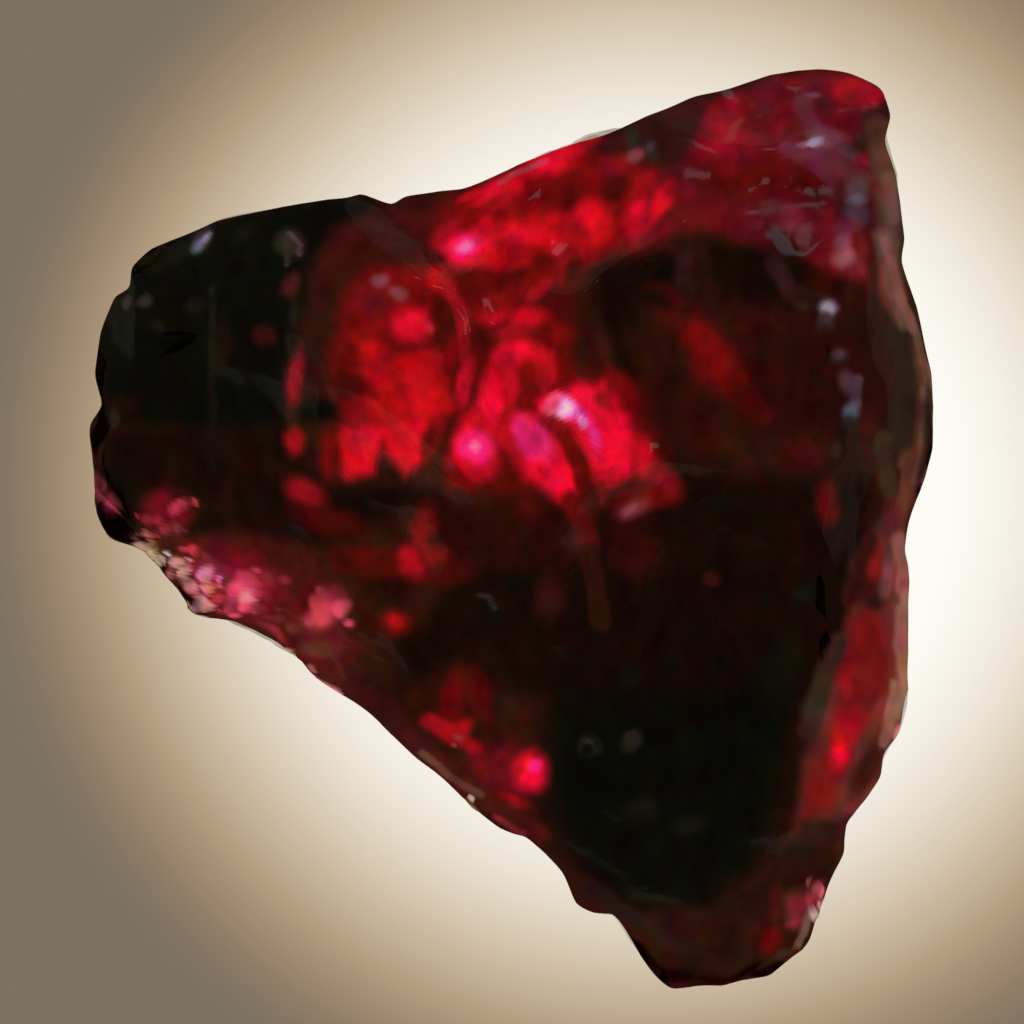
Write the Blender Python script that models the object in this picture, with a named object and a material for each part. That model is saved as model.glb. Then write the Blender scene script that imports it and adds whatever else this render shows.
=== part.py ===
"""Rough painite: one broken, glassy, dark red crystal that lies on its flat side.

The stone is worked out as two sheets that meet at its edge. The top sheet is cut by flat faces and hollow
conchoidal scoops, the under sheet slants in to the flat base, and both are then dimpled by small chips.
All the sizes below are in millimetres. +Y is the stone's long way, and z = 0 is the face that it rests on.
"""
import itertools
import math

import bpy
import numpy as np

NODE = "painite_crystal"
MM = 0.001

# The edge seen from above, clockwise from the upper right corner.
OUTLINE = [
    (3.05, 4.57), (3.34, 4.50), (3.59, 4.34), (3.69, 4.05), (3.64, 3.79), (3.73, 3.46), (3.79, 3.11),
    (3.86, 2.86), (3.85, 2.64), (3.97, 2.34), (4.08, 1.99), (4.17, 1.56), (4.19, 1.16), (4.18, 0.78),
    (4.06, 0.42), (3.91, 0.09), (3.84, -0.21), (3.91, -0.55), (3.92, -0.97), (3.90, -1.38), (3.84, -1.73),
    (3.78, -2.02), (3.65, -2.20), (3.60, -2.43), (3.46, -2.65), (3.30, -2.91), (3.33, -3.25), (3.25, -3.52),
    (3.17, -3.71), (3.09, -3.85), (2.95, -4.14), (2.78, -4.30), (2.58, -4.50), (2.24, -4.53), (1.89, -4.60),
    (1.62, -4.66), (1.45, -4.52), (1.29, -4.30), (1.16, -4.07), (0.99, -3.80), (0.81, -3.77), (0.63, -3.65),
    (0.49, -3.36), (0.15, -3.02), (-0.13, -2.93), (-0.51, -2.62), (-1.10, -2.14), (-1.41, -1.86),
    (-1.75, -1.65), (-1.98, -1.49), (-2.19, -1.25), (-2.50, -1.05), (-2.78, -0.92), (-3.08, -0.85),
    (-3.28, -0.61), (-3.48, -0.41), (-3.68, -0.21), (-3.93, -0.10), (-4.03, 0.07), (-4.10, 0.33),
    (-4.15, 0.78), (-4.17, 1.04), (-4.06, 1.24), (-4.16, 1.54), (-4.11, 1.95), (-3.94, 2.27), (-3.76, 2.38),
    (-3.73, 2.59), (-3.56, 2.77), (-3.27, 2.90), (-2.93, 3.02), (-2.51, 3.09), (-2.08, 3.18), (-1.66, 3.25),
    (-1.50, 3.30), (-1.40, 3.28), (-1.20, 3.22), (-1.05, 3.29), (-0.73, 3.34), (-0.48, 3.37), (-0.13, 3.52),
    (0.18, 3.65), (0.57, 3.79), (0.92, 3.89), (1.37, 4.09), (1.77, 4.30), (2.18, 4.41), (2.57, 4.51)]

EDGE_TENSION = 0.35     # how strongly each point of the edge is eased by its neighbours
CURVE_STEPS = 24        # points worked out between two points of the edge

# Corners of the flat base, anticlockwise. A broken face stands on each side between them.
BASE_CORNERS = [
    (3.62, 2.12), (3.55, 3.75), (3.00, 4.28), (0.60, 3.52), (-0.70, 3.02), (-2.45, 2.78), (-3.55, 2.05),
    (-3.76, 0.36), (-2.76, -0.72), (-1.15, -1.82), (0.22, -2.82), (1.50, -4.40), (2.20, -4.47), (2.90, -4.08),
    (3.16, -3.55), (3.24, -2.94), (3.60, -1.95), (3.66, -1.20), (3.60, 0.02)]

# Flat faces of the top: a point (x, y, z) on the face, its dip in degrees, and the bearing it falls towards.
TOP_FACES = {
    "crown_left": (-1.2, 1.7, 4.35, 12, 194),
    "crown_mid": (-0.1, 1.3, 4.5, 14, 262),
    "crown_top": (0.3, 3.1, 3.5, 31, 99),
    "crown_right": (1.1, 1.1, 4.3, 17, 330),
    "wine_face": (2.4, 2.7, 3.75, 30, 78),
    "east_face": (2.5, 1.7, 3.85, 12, 345),
    "left_lobe": (-3.0, 1.9, 3.65, 15, 176),
    "left_end": (-3.9, 1.3, 2.8, 31, 172),
    "north_west_face": (-2.7, 2.65, 3.3, 30, 106),
    "notch_face": (-1.1, 2.9, 3.45, 29, 122),
    "south_west_flank": (-2.3, -0.3, 2.95, 33, 237),
    "south_face": (-0.4, -1.5, 2.75, 34, 227),
    "south_ridge": (0.5, -0.7, 3.4, 17, 258),
    "right_corner": (3.72, 2.9, 3.38, 34, 6),
    "right_upper": (3.8, 1.4, 3.25, 33, 7),
    "right_middle": (3.7, -0.3, 3.02, 34, 354),
    "right_low": (3.15, -1.7, 2.85, 36, 342),
    "toe_side": (2.7, -3.1, 2.4, 36, 324),
    "toe_scarp": (1.6, -3.8, 1.38, 31, 266),
}
FACE_BLEND = 0.05
# Big hollow fractures: centre (x, y, z) of the ball that would fit in the hollow, and its radii.
SCOOPS = {
    "black_hollow": (1.9, -2.25, 5.9, 3.5, 3.97, 3.3),
    "east_hollow": (2.3, 1.5, 6.2, 3.2, 2.3, 2.75),
}
SCOOP_BLEND = 0.07
TOE_PLATE = (1.9, -4.1, 1.18, 8, 290)       # thin plate left at the foot
# Chipped hollows: x, y, radius across, depth.
CHIPS = [
    (-0.5, 2.85, 0.38, 0.05), (-1.0, 2.1, 0.42, 0.04), (-0.4, 0.8, 0.40, 0.05), (0.2, 0.85, 0.36, 0.05),
    (0.9, 0.9, 0.48, 0.06), (0.5, 1.2, 0.32, 0.05), (1.5, 0.45, 0.34, 0.04), (-0.1, 1.7, 0.46, 0.05),
    (0.0, 2.5, 0.44, 0.05), (0.7, 2.7, 0.46, 0.05), (-1.4, 1.2, 0.55, 0.05), (-1.0, 0.7, 0.42, 0.05),
    (-2.0, -0.2, 0.42, 0.05), (-1.1, -0.4, 0.40, 0.05), (0.1, -2.2, 0.45, 0.05), (3.3, -2.2, 0.40, 0.04)]
CHIP_WANDER = 0.16      # how far a chip's rim strays from round
CHIP_CELL = 0.41        # and over what length
# Growth steps that cross the left lobe: the x they run along and their drop.
STEPS = [(-3.02, 0.07), (-2.22, 0.08)]
STEP_SOFTNESS = 0.035
# The notch in the upper edge, and how far it runs in.
NOTCH = [(-1.40, 3.35), (-1.15, 2.95), (-0.75, 2.65)]
NOTCH_HALF_WIDTH = 0.24
NOTCH_DEPTH = 0.13

# Conchoidal dimples over everything: cell size, depth, seed. Then the rough grain on top of them.
DIMPLES = [(1.9, 0.15, 3), (0.95, 0.045, 11), (0.4, 0.012, 29)]
GRAIN_CELL = 0.9
GRAIN_DEPTH = 0.03
RELIEF_LEVEL = 0.15     # the dimples' mean depth, given back so that the stone keeps its size
HEART = (0.3, 0.2, 1.6)         # the relief sinks towards here, flattened as the stone is
HALF_SPREAD = (4.2, 4.6, 2.2)
WANDER = 0.12           # how far the faces' borders stray from straight
WANDER_CELL = 1.3       # over what length they do
WANDER_FADE = 0.5       # and how far from the edge it has faded in
FLANK_ROUGHNESS = 0.8   # how much deeper the relief is on the flank
BASE_FADE = 0.25        # the relief dies out over this height above the base

CENTRE = (0.7, -0.3)    # every point of the edge is in plain sight from here
AROUND = 420            # points round the edge
TOP_RINGS = 80
FLANK_RINGS = 16
EDGE_FADE = 0.4         # share of the flank's height in which the edge's own bends fade out
BASE_RINGS = 14
RING_CROWDING = 1.35    # above 1, rings crowd towards the edge
KEPT_SHARE = 0.094      # of the fine faces, the share that is kept where they bend most


def lattice_value(cell, seed):
    """A fixed number from 0 to 1 for each whole-number cell: the cell's indices, hashed."""
    h = cell[:, 0] * 374761393 + cell[:, 1] * 668265263 + cell[:, 2] * 1440662683 + seed * 974634777
    h = h & 0xFFFFFFFF
    h = ((h ^ (h >> 13)) * 1274126177) & 0xFFFFFFFF
    h = ((h ^ (h >> 15)) * 1103515245) & 0xFFFFFFFF
    return ((h ^ (h >> 16)) & 0xFFFFFF) / 0xFFFFFF


def cloud(points, seed):
    """Smooth noise from -1 to 1: the eight corner values of each cell, eased into each other."""
    cell = np.floor(points).astype(np.int64)
    part = points - cell
    part = part ** 3 * (part * (part * 6 - 15) + 10)
    total = np.zeros(len(points))
    for corner in itertools.product((0, 1), repeat=3):
        weight = np.prod(np.where(np.array(corner) == 1, part, 1 - part), axis=1)
        total += weight * lattice_value(cell + np.array(corner), seed)
    return 2 * total - 1


def dimple(points, seed):
    """0 at the floor of each bowl, near 1 on the ridges: squared distance to the nearest scattered spot."""
    cell = np.floor(points).astype(np.int64)
    nearest = np.full(len(points), 9.0)
    for offset in itertools.product((-1, 0, 1), repeat=3):
        other = cell + np.array(offset)
        spot = other + np.stack([lattice_value(other, seed + axis) for axis in range(3)], axis=1)
        nearest = np.minimum(nearest, ((points - spot) ** 2).sum(axis=1))
    return np.minimum(nearest / 0.55, 1.0)


def smooth_min(a, b, width):
    """The lower of two heights, with the crease between them rounded over the given width."""
    share = np.clip(0.5 + 0.5 * (b - a) / width, 0, 1)
    return b + (a - b) * share - width * share * (1 - share)


def smooth_max(a, b, width):
    """The higher of two heights, with the crease between them rounded."""
    return -smooth_min(-a, -b, width)


def face_height(x, y, face):
    """Height of a flat face over (x, y): its own height less the fall along its bearing."""
    x0, y0, z0, dip, bearing = face
    turn = math.radians(bearing)
    along = (x - x0) * math.cos(turn) + (y - y0) * math.sin(turn)
    return z0 - math.tan(math.radians(dip)) * along


def scoop_height(x, y, scoop):
    """Underside of a hanging egg: its centre height less the half chord, and far above outside it."""
    x0, y0, z0, wide, long, deep = scoop
    inside = 1 - ((x - x0) / wide) ** 2 - ((y - y0) / long) ** 2
    return np.where(inside > 0, z0 - deep * np.sqrt(np.maximum(inside, 0)), 99.0)


def distance_to_line(x, y, points):
    """Distance from each (x, y) to the nearest stretch of a line of straight runs."""
    nearest = np.full(x.shape, 1e9)
    for (ax, ay), (bx, by) in zip(points[:-1], points[1:]):
        dx, dy = bx - ax, by - ay
        share = np.clip(((x - ax) * dx + (y - ay) * dy) / (dx * dx + dy * dy), 0, 1)
        nearest = np.minimum(nearest, (x - ax - share * dx) ** 2 + (y - ay - share * dy) ** 2)
    return np.sqrt(nearest)


def edge_ring(count):
    """The outline as a smooth closed curve, read at points an equal way apart."""
    knots = np.array(OUTLINE)
    before, here, after, beyond = (np.roll(knots, shift, axis=0)[:, None, :] for shift in (1, 0, -1, -2))
    t = np.linspace(0, 1, CURVE_STEPS, endpoint=False)[None, :, None]
    leave, arrive = EDGE_TENSION * (after - before), EDGE_TENSION * (beyond - here)
    curve = (2 * t ** 3 - 3 * t ** 2 + 1) * here + (t ** 3 - 2 * t ** 2 + t) * leave
    curve = curve + (3 * t ** 2 - 2 * t ** 3) * after + (t ** 3 - t ** 2) * arrive
    curve = curve.reshape(-1, 2)
    closed = np.vstack([curve, curve[:1]])
    run = np.concatenate([[0], np.cumsum(np.linalg.norm(np.diff(closed, axis=0), axis=1))])
    at = np.linspace(0, run[-1], count, endpoint=False)
    return np.stack([np.interp(at, run, closed[:, axis]) for axis in (0, 1)], axis=1)


def eased(value):
    """0 below 0 and 1 above 1, with a smooth rise between."""
    value = np.clip(value, 0, 1)
    return value * value * (3 - 2 * value)


def ring_reach(corners, angle):
    """How far from the centre a spoke at each angle meets a straight-sided ring of corners."""
    corners = corners[np.argsort(np.arctan2(corners[:, 1], corners[:, 0]))]
    after = np.searchsorted(np.arctan2(corners[:, 1], corners[:, 0]), angle) % len(corners)
    start = corners[after - 1]
    side = corners[after] - start
    across = start[:, 0] * side[:, 1] - start[:, 1] * side[:, 0]
    return across / (np.cos(angle) * side[:, 1] - np.sin(angle) * side[:, 0])


def top_sheet(x, y, inset):
    """Height of the top: the lowest of its faces and scoops, less pits, steps and notch."""
    places = np.stack([x.ravel(), y.ravel(), np.zeros(x.size)], axis=1)
    faded = np.clip(inset / WANDER_FADE, 0, 1)
    east = x + WANDER * faded * cloud(places / WANDER_CELL, 61).reshape(x.shape)
    north = y + WANDER * faded * cloud(places / WANDER_CELL, 67).reshape(x.shape)
    height = np.full(x.shape, 99.0)
    for face in TOP_FACES.values():
        height = smooth_min(height, face_height(east, north, face), FACE_BLEND)
    for scoop in SCOOPS.values():
        height = smooth_min(height, scoop_height(east, north, scoop), SCOOP_BLEND)
    height = smooth_max(height, face_height(x, y, TOE_PLATE), FACE_BLEND)
    chip_east = x + CHIP_WANDER * cloud(places / CHIP_CELL, 71).reshape(x.shape)
    chip_north = y + CHIP_WANDER * cloud(places / CHIP_CELL, 73).reshape(x.shape)
    for middle_x, middle_y, radius, depth in CHIPS:
        away = ((chip_east - middle_x) ** 2 + (chip_north - middle_y) ** 2) / radius ** 2
        height = height - depth * np.maximum(1 - away, 0)
    for line, drop in STEPS:
        height = height - drop / (1 + np.exp(np.clip((east - line) / STEP_SOFTNESS, -50, 50)))
    height = height - NOTCH_DEPTH * np.maximum(1 - distance_to_line(east, north, NOTCH) / NOTCH_HALF_WIDTH, 0)
    return height


def under_sheet(edge):
    """Rings below the edge: down broken faces to the straight-sided base, and over the base to the centre.

    The faces run between the base's corners and the edge above them. What the edge has beyond their straight
    tops fades out over EDGE_FADE of the way down, and no ring is wider than the edge.
    """
    spoke = edge[:, :2] - CENTRE
    reach = np.linalg.norm(spoke, axis=1)
    angle = np.arctan2(spoke[:, 1], spoke[:, 0])
    corners = np.array(BASE_CORNERS) - CENTRE
    corner_angle = np.arctan2(corners[:, 1], corners[:, 0])
    corner_reach = np.interp(corner_angle, angle, reach, period=2 * math.pi)
    tops = corners * (corner_reach / np.linalg.norm(corners, axis=1))[:, None]
    straight_top = ring_reach(tops, angle)
    base = ring_reach(corners, angle)
    down = np.linspace(0, 1, FLANK_RINGS + 1)[1:, None]
    flank = straight_top + down * (base - straight_top)
    flank = flank + (1 - eased(down / EDGE_FADE)) * (reach - straight_top)
    flank = np.minimum(flank, reach)
    across = np.linspace(0, 1, BASE_RINGS + 1)[1:, None]
    way_out = np.concatenate([flank, (1 - across) * flank[-1]]) / reach
    height = np.concatenate([edge[:, 2] * (1 - down), np.zeros((BASE_RINGS, AROUND))])
    sides = [CENTRE[axis] + way_out * spoke[:, axis] for axis in (0, 1)]
    return np.stack([*sides, height], axis=-1)


def stone_grid():
    """Vertices, faces and how far below the edge each vertex is. Both sheets are rings, and share the edge's."""
    ring = edge_ring(AROUND)
    share = 1 - np.linspace(0, 1, TOP_RINGS + 1)[:, None] ** RING_CROWDING
    x, y = (CENTRE[axis] + share * (ring[:, axis] - CENTRE[axis]) for axis in (0, 1))
    inset = distance_to_line(x, y, OUTLINE + OUTLINE[:1])
    inset[0] = 0
    top = np.stack([x, y, top_sheet(x, y, inset)], axis=-1)
    low = under_sheet(top[0])

    points = np.concatenate([top[:-1].reshape(-1, 3), top[-1, :1], low[:-1].reshape(-1, 3), low[-1, :1]])
    below = (top[0, :, 2] - low[..., 2]).ravel()
    below = np.concatenate([np.zeros(TOP_RINGS * AROUND + 1), below[:1 - AROUND]])
    around = np.arange(AROUND)
    onward = np.roll(around, -1)
    top_centre = TOP_RINGS * AROUND
    faces = []
    for ring_no in range(TOP_RINGS - 1):
        inner = (ring_no + 1) * AROUND
        outer = ring_no * AROUND
        faces += np.stack([inner + around, inner + onward, outer + onward, outer + around], axis=1).tolist()
    last = (TOP_RINGS - 1) * AROUND
    faces += np.stack([np.full(AROUND, top_centre), last + onward, last + around], axis=1).tolist()
    under_rings = FLANK_RINGS + BASE_RINGS
    for ring_no in range(under_rings - 1):
        outer = 0 if ring_no == 0 else top_centre + 1 + (ring_no - 1) * AROUND
        inner = top_centre + 1 + ring_no * AROUND
        faces += np.stack([outer + around, outer + onward, inner + onward, inner + around], axis=1).tolist()
    last = top_centre + 1 + (under_rings - 2) * AROUND
    faces += np.stack([np.full(AROUND, len(points) - 1), last + around, last + onward], axis=1).tolist()
    return points, faces, below


def relief(points, below):
    """What moves each point of the plain faces: dimples of three sizes and a rough grain, sunk inwards.

    The flank is the roughest: its relief grows over the first millimetre below the edge.
    """
    depth = np.full(len(points), -RELIEF_LEVEL)
    for cell, deep, seed in DIMPLES:
        depth += deep * (1 - dimple(points / cell, seed))
    grain = cloud(points / GRAIN_CELL, 21) + 0.5 * cloud(points * 2 / GRAIN_CELL, 22)
    depth += GRAIN_DEPTH * (1 + grain)
    depth *= 1 + FLANK_ROUGHNESS * np.clip(below, 0, 1)
    depth *= np.clip(points[:, 2] / BASE_FADE, 0, 1)
    outward = (points - HEART) / np.square(HALF_SPREAD)
    outward /= np.linalg.norm(outward, axis=1, keepdims=True)
    return -depth[:, None] * outward


def painite_glass():
    """Glassy, dark blood-red crystal."""
    material = bpy.data.materials.new("painite")
    material.use_nodes = True
    shader = material.node_tree.nodes["Principled BSDF"]
    shader.inputs["Base Color"].default_value = (0.30, 0.010, 0.022, 1)
    shader.inputs["Roughness"].default_value = 0.12
    shader.inputs["Metallic"].default_value = 0.0
    shader.inputs["IOR"].default_value = 1.80
    return material


def build_crystal():
    """The crystal as one mesh: both sheets with their relief, centred over the origin, then thinned."""
    points, faces, below = stone_grid()
    points = points + relief(points, below)
    points[:, 2] = np.maximum(points[:, 2], 0)
    middle = (points.min(axis=0) + points.max(axis=0)) / 2
    points[:, :2] -= middle[:2]
    mesh = bpy.data.meshes.new(NODE)
    mesh.from_pydata((points * MM).tolist(), [], faces)
    mesh.update()
    mesh.materials.append(painite_glass())
    crystal = bpy.data.objects.new(NODE, mesh)
    bpy.context.scene.collection.objects.link(crystal)
    thin = crystal.modifiers.new("thin", "DECIMATE")
    thin.ratio = KEPT_SHARE
    thin.use_collapse_triangulate = True
    return crystal


for old in list(bpy.data.objects):
    bpy.data.objects.remove(old, do_unlink=True)
build_crystal()
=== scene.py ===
"""Rough painite: a glassy, dark blood-red crystal fragment that lies on its flat side on a pale lit surface.

Sizes in the text are millimetres, and each mesh is turned into metres once, where it is made.
"""

import itertools
import math

import bpy
import numpy as np
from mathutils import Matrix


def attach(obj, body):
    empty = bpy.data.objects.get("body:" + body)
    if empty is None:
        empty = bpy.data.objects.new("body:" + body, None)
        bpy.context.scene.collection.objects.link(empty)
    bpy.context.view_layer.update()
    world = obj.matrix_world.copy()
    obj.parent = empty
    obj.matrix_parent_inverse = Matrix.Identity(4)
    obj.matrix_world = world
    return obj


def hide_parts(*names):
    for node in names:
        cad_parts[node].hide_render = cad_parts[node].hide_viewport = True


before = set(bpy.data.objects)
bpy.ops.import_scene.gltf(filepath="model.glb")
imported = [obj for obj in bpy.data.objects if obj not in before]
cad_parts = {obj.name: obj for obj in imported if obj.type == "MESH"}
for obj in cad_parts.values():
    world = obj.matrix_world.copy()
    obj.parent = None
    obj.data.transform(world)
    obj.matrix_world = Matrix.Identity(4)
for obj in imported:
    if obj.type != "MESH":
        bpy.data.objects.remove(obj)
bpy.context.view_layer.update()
MM = 0.001


# ---------------------------------------------------------------------------------------------------------
# The edge of the stone. It is the line where the broken upper side meets the under side, seen from above:
# a blunt lobe on the left, a sharp corner at the upper right, and a thin toe at the foot.

EDGE_POINTS = [
    (3.05, 4.57), (3.34, 4.50), (3.59, 4.34), (3.69, 4.05), (3.64, 3.79), (3.73, 3.46), (3.79, 3.11),
    (3.86, 2.86), (3.85, 2.64), (3.97, 2.34), (4.08, 1.99), (4.17, 1.56), (4.19, 1.16), (4.18, 0.78),
    (4.06, 0.42), (3.91, 0.09), (3.84, -0.21), (3.91, -0.55), (3.92, -0.97), (3.90, -1.38), (3.84, -1.73),
    (3.78, -2.02), (3.65, -2.20), (3.60, -2.43), (3.46, -2.65), (3.30, -2.91), (3.33, -3.25), (3.25, -3.52),
    (3.17, -3.71), (3.09, -3.85), (2.95, -4.14), (2.78, -4.30), (2.58, -4.50), (2.24, -4.53), (1.89, -4.60),
    (1.62, -4.66), (1.45, -4.52), (1.29, -4.30), (1.16, -4.07), (0.99, -3.80), (0.81, -3.77), (0.63, -3.65),
    (0.49, -3.36), (0.15, -3.02), (-0.13, -2.93), (-0.51, -2.62), (-1.10, -2.14), (-1.41, -1.86),
    (-1.75, -1.65), (-1.98, -1.49), (-2.19, -1.25), (-2.50, -1.05), (-2.78, -0.92), (-3.08, -0.85),
    (-3.28, -0.61), (-3.48, -0.41), (-3.68, -0.21), (-3.93, -0.10), (-4.03, 0.07), (-4.10, 0.33),
    (-4.15, 0.78), (-4.17, 1.04), (-4.06, 1.24), (-4.16, 1.54), (-4.11, 1.95), (-3.94, 2.27), (-3.76, 2.38),
    (-3.73, 2.59), (-3.56, 2.77), (-3.27, 2.90), (-2.93, 3.02), (-2.51, 3.09), (-2.08, 3.18), (-1.66, 3.25),
    (-1.50, 3.30), (-1.40, 3.28), (-1.20, 3.22), (-1.05, 3.29), (-0.73, 3.34), (-0.48, 3.37), (-0.13, 3.52),
    (0.18, 3.65), (0.57, 3.79), (0.92, 3.89), (1.37, 4.09), (1.77, 4.30), (2.18, 4.41), (2.57, 4.51)]
EDGE_TENSION = 0.35             # 0 would give sharp corners, 0.5 the roundest curve
CURVE_STEPS = 24                # to a stretch between two edge points


def edge_ring(count):
    """Cubic curve through the edge points, each stretch eased by its neighbours, read at equal steps."""
    knots = np.array(EDGE_POINTS)
    before, here, after, beyond = (np.roll(knots, shift, axis=0)[:, None, :] for shift in (1, 0, -1, -2))
    t = np.linspace(0, 1, CURVE_STEPS, endpoint=False)[None, :, None]
    leave, arrive = EDGE_TENSION * (after - before), EDGE_TENSION * (beyond - here)
    curve = (2 * t ** 3 - 3 * t ** 2 + 1) * here + (t ** 3 - 2 * t ** 2 + t) * leave
    curve = curve + (3 * t ** 2 - 2 * t ** 3) * after + (t ** 3 - t ** 2) * arrive
    curve = curve.reshape(-1, 2)
    closed = np.vstack([curve, curve[:1]])
    run = np.concatenate([[0], np.cumsum(np.linalg.norm(np.diff(closed, axis=0), axis=1))])
    at = np.linspace(0, run[-1], count, endpoint=False)
    return np.stack([np.interp(at, run, closed[:, axis]) for axis in (0, 1)], axis=1)


# ---------------------------------------------------------------------------------------------------------
# The broken upper side. Flat crystal and cleavage faces meet at ridges; two big shell-shaped fractures have
# hollowed it out, small chips pit the crown, and a plate only a millimetre thick is left at the toe.

# A point (x, y, z) on the face, its dip in degrees, and the bearing it falls towards.
TOP_FACES = {
    "crown_left": (-1.2, 1.7, 4.35, 12, 194),
    "crown_mid": (-0.1, 1.3, 4.5, 14, 262),
    "crown_top": (0.3, 3.1, 3.5, 31, 99),
    "crown_right": (1.1, 1.1, 4.3, 17, 330),
    "wine_face": (2.4, 2.7, 3.75, 30, 78),
    "east_face": (2.5, 1.7, 3.85, 12, 345),
    "left_lobe": (-3.0, 1.9, 3.65, 15, 176),
    "left_end": (-3.9, 1.3, 2.8, 31, 172),
    "north_west_face": (-2.7, 2.65, 3.3, 30, 106),
    "notch_face": (-1.1, 2.9, 3.45, 29, 122),
    "south_west_flank": (-2.3, -0.3, 2.95, 33, 237),
    "south_face": (-0.4, -1.5, 2.75, 34, 227),
    "south_ridge": (0.5, -0.7, 3.4, 17, 258),
    "right_corner": (3.72, 2.9, 3.38, 34, 6),
    "right_upper": (3.8, 1.4, 3.25, 33, 7),
    "right_middle": (3.7, -0.3, 3.02, 34, 354),
    "right_low": (3.15, -1.7, 2.85, 36, 342),
    "toe_side": (2.7, -3.1, 2.4, 36, 324),
    "toe_scarp": (1.6, -3.8, 1.38, 31, 266),
}
FACE_BLEND = 0.05
# Centre (x, y, z) of the egg that would fit in the hollow, and its radii.
SCOOPS = {
    "black_hollow": (1.9, -2.25, 5.9, 3.5, 3.97, 3.3),
    "east_hollow": (2.3, 1.5, 6.2, 3.2, 2.3, 2.75),
}
SCOOP_BLEND = 0.07
TOE_PLATE = (1.9, -4.1, 1.18, 8, 290)
# x, y, radius across, depth.
CHIPS = [
    (-0.5, 2.85, 0.38, 0.05), (-1.0, 2.1, 0.42, 0.04), (-0.4, 0.8, 0.40, 0.05), (0.2, 0.85, 0.36, 0.05),
    (0.9, 0.9, 0.48, 0.06), (0.5, 1.2, 0.32, 0.05), (1.5, 0.45, 0.34, 0.04), (-0.1, 1.7, 0.46, 0.05),
    (0.0, 2.5, 0.44, 0.05), (0.7, 2.7, 0.46, 0.05), (-1.4, 1.2, 0.55, 0.05), (-1.0, 0.7, 0.42, 0.05),
    (-2.0, -0.2, 0.42, 0.05), (-1.1, -0.4, 0.40, 0.05), (0.1, -2.2, 0.45, 0.05), (3.3, -2.2, 0.40, 0.04)]
CHIP_WANDER = 0.16                              # how far a chip's rim strays from round
CHIP_CELL = 0.41                                # and over what length
STEPS = [(-3.02, 0.04), (-2.22, 0.045)]         # growth steps across the left lobe: x and drop
STEP_SOFTNESS = 0.05
NOTCH = [(-1.40, 3.35), (-1.15, 2.95), (-0.75, 2.65)]
NOTCH_HALF_WIDTH = 0.30
NOTCH_DEPTH = 0.13
WANDER = 0.12                                   # how far the faces' borders stray from straight
WANDER_CELL = 1.3                               # and over what length
WANDER_FADE = 0.5                               # the width beside the edge in which they come to stray
FAR = 99.0                                      # farther than anything in the stone


def lattice_value(cell, seed):
    """A fixed number from 0 to 1 for each whole-number cell: the cell's indices, hashed."""
    h = cell[:, 0] * 374761393 + cell[:, 1] * 668265263 + cell[:, 2] * 1440662683 + seed * 974634777
    h = h & 0xFFFFFFFF
    h = ((h ^ (h >> 13)) * 1274126177) & 0xFFFFFFFF
    h = ((h ^ (h >> 15)) * 1103515245) & 0xFFFFFFFF
    return ((h ^ (h >> 16)) & 0xFFFFFF) / 0xFFFFFF


def cloud(points, seed):
    """Smooth noise from -1 to 1: the eight corner values of each cell, eased into each other."""
    cell = np.floor(points).astype(np.int64)
    part = points - cell
    part = part ** 3 * (part * (part * 6 - 15) + 10)
    total = np.zeros(len(points))
    for corner in itertools.product((0, 1), repeat=3):
        weight = np.prod(np.where(np.array(corner) == 1, part, 1 - part), axis=1)
        total += weight * lattice_value(cell + np.array(corner), seed)
    return 2 * total - 1


def flat_cloud(x, y, cell, seed):
    """The same noise over a plan (x, y), with the given cell size."""
    return cloud(np.stack([x.ravel(), y.ravel(), np.zeros(x.size)], axis=1) / cell, seed).reshape(x.shape)


def smooth_min(a, b, width):
    """The lower of two heights, with the crease between them rounded over the given width."""
    share = np.clip(0.5 + 0.5 * (b - a) / width, 0, 1)
    return b + (a - b) * share - width * share * (1 - share)


def face_height(x, y, face):
    """Height of a flat face over (x, y): its own height less tan(dip) times the way along its bearing."""
    x0, y0, z0, dip, bearing = face
    turn = math.radians(bearing)
    return z0 - math.tan(math.radians(dip)) * ((x - x0) * math.cos(turn) + (y - y0) * math.sin(turn))


def scoop_height(x, y, scoop):
    """Underside of a hanging egg: centre height less its depth times the root of 1 - (x/a)^2 - (y/b)^2."""
    x0, y0, z0, wide, long, deep = scoop
    inside = 1 - ((x - x0) / wide) ** 2 - ((y - y0) / long) ** 2
    return np.where(inside > 0, z0 - deep * np.sqrt(np.maximum(inside, 0)), FAR)


def distance_to_line(x, y, points):
    """Distance from each (x, y) to the nearest stretch of a line of straight runs."""
    nearest = np.full(x.shape, 1e9)
    for (ax, ay), (bx, by) in zip(points[:-1], points[1:]):
        dx, dy = bx - ax, by - ay
        share = np.clip(((x - ax) * dx + (y - ay) * dy) / (dx * dx + dy * dy), 0, 1)
        nearest = np.minimum(nearest, (x - ax - share * dx) ** 2 + (y - ay - share * dy) ** 2)
    return np.sqrt(nearest)


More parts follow.
